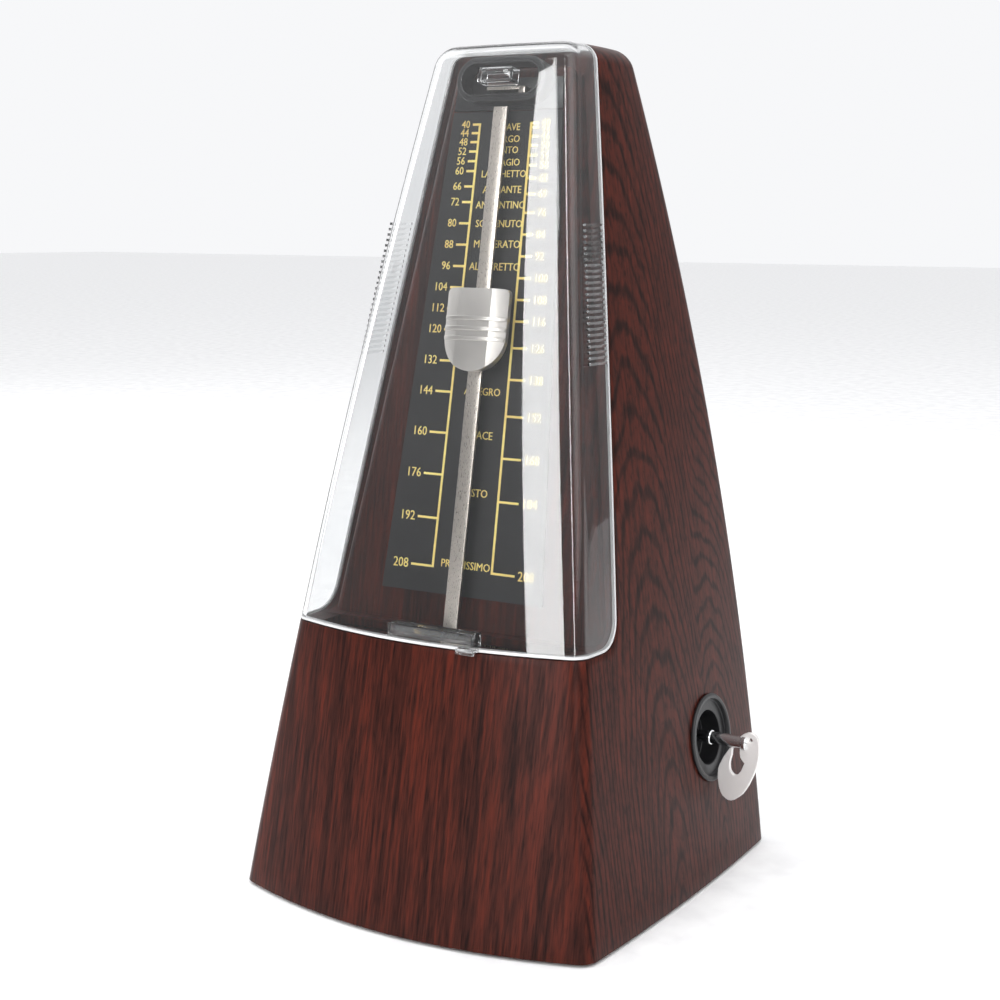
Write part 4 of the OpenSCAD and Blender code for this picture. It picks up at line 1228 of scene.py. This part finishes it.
class METRONOME_OT_base(bpy.types.Operator):
    """Base plate, its screws and the rubber ring under it"""
    bl_idname = "metronome.base"
    bl_label = "Base"

    def execute(self, context):
        paint(moulded_material("matt_base", (0.02, 0.02, 0.021), 0.6, 0.25, 1800.0),
              "base_plate")
        paint(moulded_material("foot_rubber", (0.03, 0.03, 0.03), 0.8, 0.3, 1500.0),
              "foot_ring")
        paint(plated_material(), "base_screws")
        return {"FINISHED"}


class METRONOME_OT_stage(bpy.types.Operator):
    """Floor, soft studio light and camera"""
    bl_idname = "metronome.stage"
    bl_label = "Stage"

    CAMERA_PLACE = (218.22, -359.85, 160.24)
    AZIMUTH, ELEVATION, ROLL = 31.233, 8.146, 0.38
    LENS, SHIFT_X, SHIFT_Y = 62.26, -0.0099, -0.026
    AIM = Vector((0, 0, 0.1))
    # Name, lower and upper direction (azimuth, elevation), reach, width and power.
    LIGHTS = (("band_light", (7, 2), (-18, 40), 1.1, 0.19, 4.6),
              ("corner_light", (46, 2), (40, 44), 1.1, 0.06, 2.4),
              ("right_light", (80, 10), (80, 60), 1.2, 0.6, 2.0),
              ("left_light", (-95, 0), (-95, 55), 1.3, 0.7, 4),
              ("top_light", (0, 62), (180, 62), 1.5, 1.8, 5))
    # The studio is brightest overhead and on the wall behind the metronome.
    FILL, DOME, BACKDROP = 0.36, 0.97, 0.95
    BEHIND = (-0.518, 0.855, 0.0)

    def floor(self):
        clear_selection()
        bpy.ops.mesh.primitive_plane_add(size=14)
        floor = bpy.context.active_object
        floor.name = "studio_floor"
        floor.data.materials.append(
            moulded_material("studio_floor", (0.9, 0.9, 0.905), 0.7, 0.02, 400.0))

    def way(self, azimuth, elevation):
        a, e = math.radians(azimuth), math.radians(elevation)
        return Vector((math.sin(a) * math.cos(e), -math.cos(a) * math.cos(e), math.sin(e)))

    def camera(self):
        a, r = math.radians(self.AZIMUTH), math.radians(self.ROLL)
        back = self.way(self.AZIMUTH, self.ELEVATION)
        right = Vector((math.cos(a), math.sin(a), 0))
        up = back.cross(right)
        right, up = (right * math.cos(r) + up * math.sin(r),
                     up * math.cos(r) - right * math.sin(r))
        clear_selection()
        bpy.ops.object.camera_add()
        camera = bpy.context.active_object
        camera.matrix_world = Matrix((right, up, back)).transposed().to_4x4()
        camera.location = Vector(self.CAMERA_PLACE) * MM
        camera.data.sensor_width = 36
        camera.data.lens = self.LENS
        camera.data.shift_x, camera.data.shift_y = self.SHIFT_X, self.SHIFT_Y
        camera.data.clip_start = 0.01
        bpy.context.scene.camera = camera
        bpy.context.scene.view_settings.view_transform = "Standard"

    def softbox(self, name, low, high, reach, width, power):
        """A light panel between two directions (azimuth, elevation), facing the metronome."""
        first, last = self.way(*low) * reach, self.way(*high) * reach
        middle, along = (first + last) / 2, last - first
        out = middle.normalized()
        across = along.cross(out).normalized()
        upright = out.cross(across)
        clear_selection()
        bpy.ops.object.light_add(type="AREA")
        light = bpy.context.active_object
        light.name = light.data.name = name
        light.matrix_world = Matrix((across, upright, out)).transposed().to_4x4()
        light.location = middle + self.AIM
        light.data.shape = "RECTANGLE"
        light.data.size, light.data.size_y = width, along.length
        light.data.energy = power

    def surroundings(self):
        world = bpy.data.worlds.new("studio")
        bpy.context.scene.world = world
        world.use_nodes = True
        tree = world.node_tree
        place = put(tree, "ShaderNodeTexCoord").outputs["Generated"]
        high = put(tree, "ShaderNodeSeparateXYZ", {0: place}).outputs["Z"]
        dome = put(tree, "ShaderNodeMapRange",
                   {0: high, 1: 0.15, 2: 0.6, 3: self.FILL, 4: self.DOME})
        behind = put(tree, "ShaderNodeVectorMath", {0: place, 1: self.BEHIND},
                     operation="DOT_PRODUCT")
        wall = put(tree, "ShaderNodeMapRange",
                   {0: behind.outputs["Value"], 1: 0.7, 2: 0.86, 3: self.FILL,
                    4: self.BACKDROP})
        feed(tree.nodes["Background"],
             {0: (0.98, 0.985, 1.0, 1),
              1: maths(tree, "MAXIMUM", dome.outputs[0], wall.outputs[0])})

    def execute(self, context):
        self.floor()
        self.camera()
        for light in self.LIGHTS:
            self.softbox(*light)
        self.surroundings()
        return {"FINISHED"}


# ---------------------------------------------------------------- panel and add-on
OPERATORS = (METRONOME_OT_stage, METRONOME_OT_case, METRONOME_OT_cover, METRONOME_OT_scale,
             METRONOME_OT_hood, METRONOME_OT_key, METRONOME_OT_pendulum,
             METRONOME_OT_movement, METRONOME_OT_base)


class METRONOME_PT_panel(bpy.types.Panel):
    """Lists the metronome's sizes, colours and building steps"""
    bl_idname = "METRONOME_PT_panel"
    bl_label = "Pendulum Metronome"
    bl_space_type = "VIEW_3D"
    bl_region_type = "UI"
    bl_category = "Metronome"

    def draw(self, context):
        for operator in OPERATORS:
            self.layout.operator(operator.bl_idname)
        for group in (context.scene.metronome_sizes, context.scene.metronome_colours):
            box = self.layout.box()
            for name in group.__annotations__:
                box.prop(group, name)


CLASSES = (MetronomeSizes, MetronomeColours) + OPERATORS + (METRONOME_PT_panel,)


def register():
    for item in CLASSES:
        bpy.utils.register_class(item)
    bpy.types.Scene.metronome_sizes = PointerProperty(type=MetronomeSizes)
    bpy.types.Scene.metronome_colours = PointerProperty(type=MetronomeColours)


def unregister():
    del bpy.types.Scene.metronome_colours
    del bpy.types.Scene.metronome_sizes
    for item in reversed(CLASSES):
        bpy.utils.unregister_class(item)


def main():
    register()
    steps = bpy.ops.metronome
    steps.stage()
    steps.case()
    steps.cover()
    steps.scale()
    steps.hood()
    steps.key()
    steps.pendulum()
    steps.movement()
    steps.base()


if __name__ == "__main__":
    main()
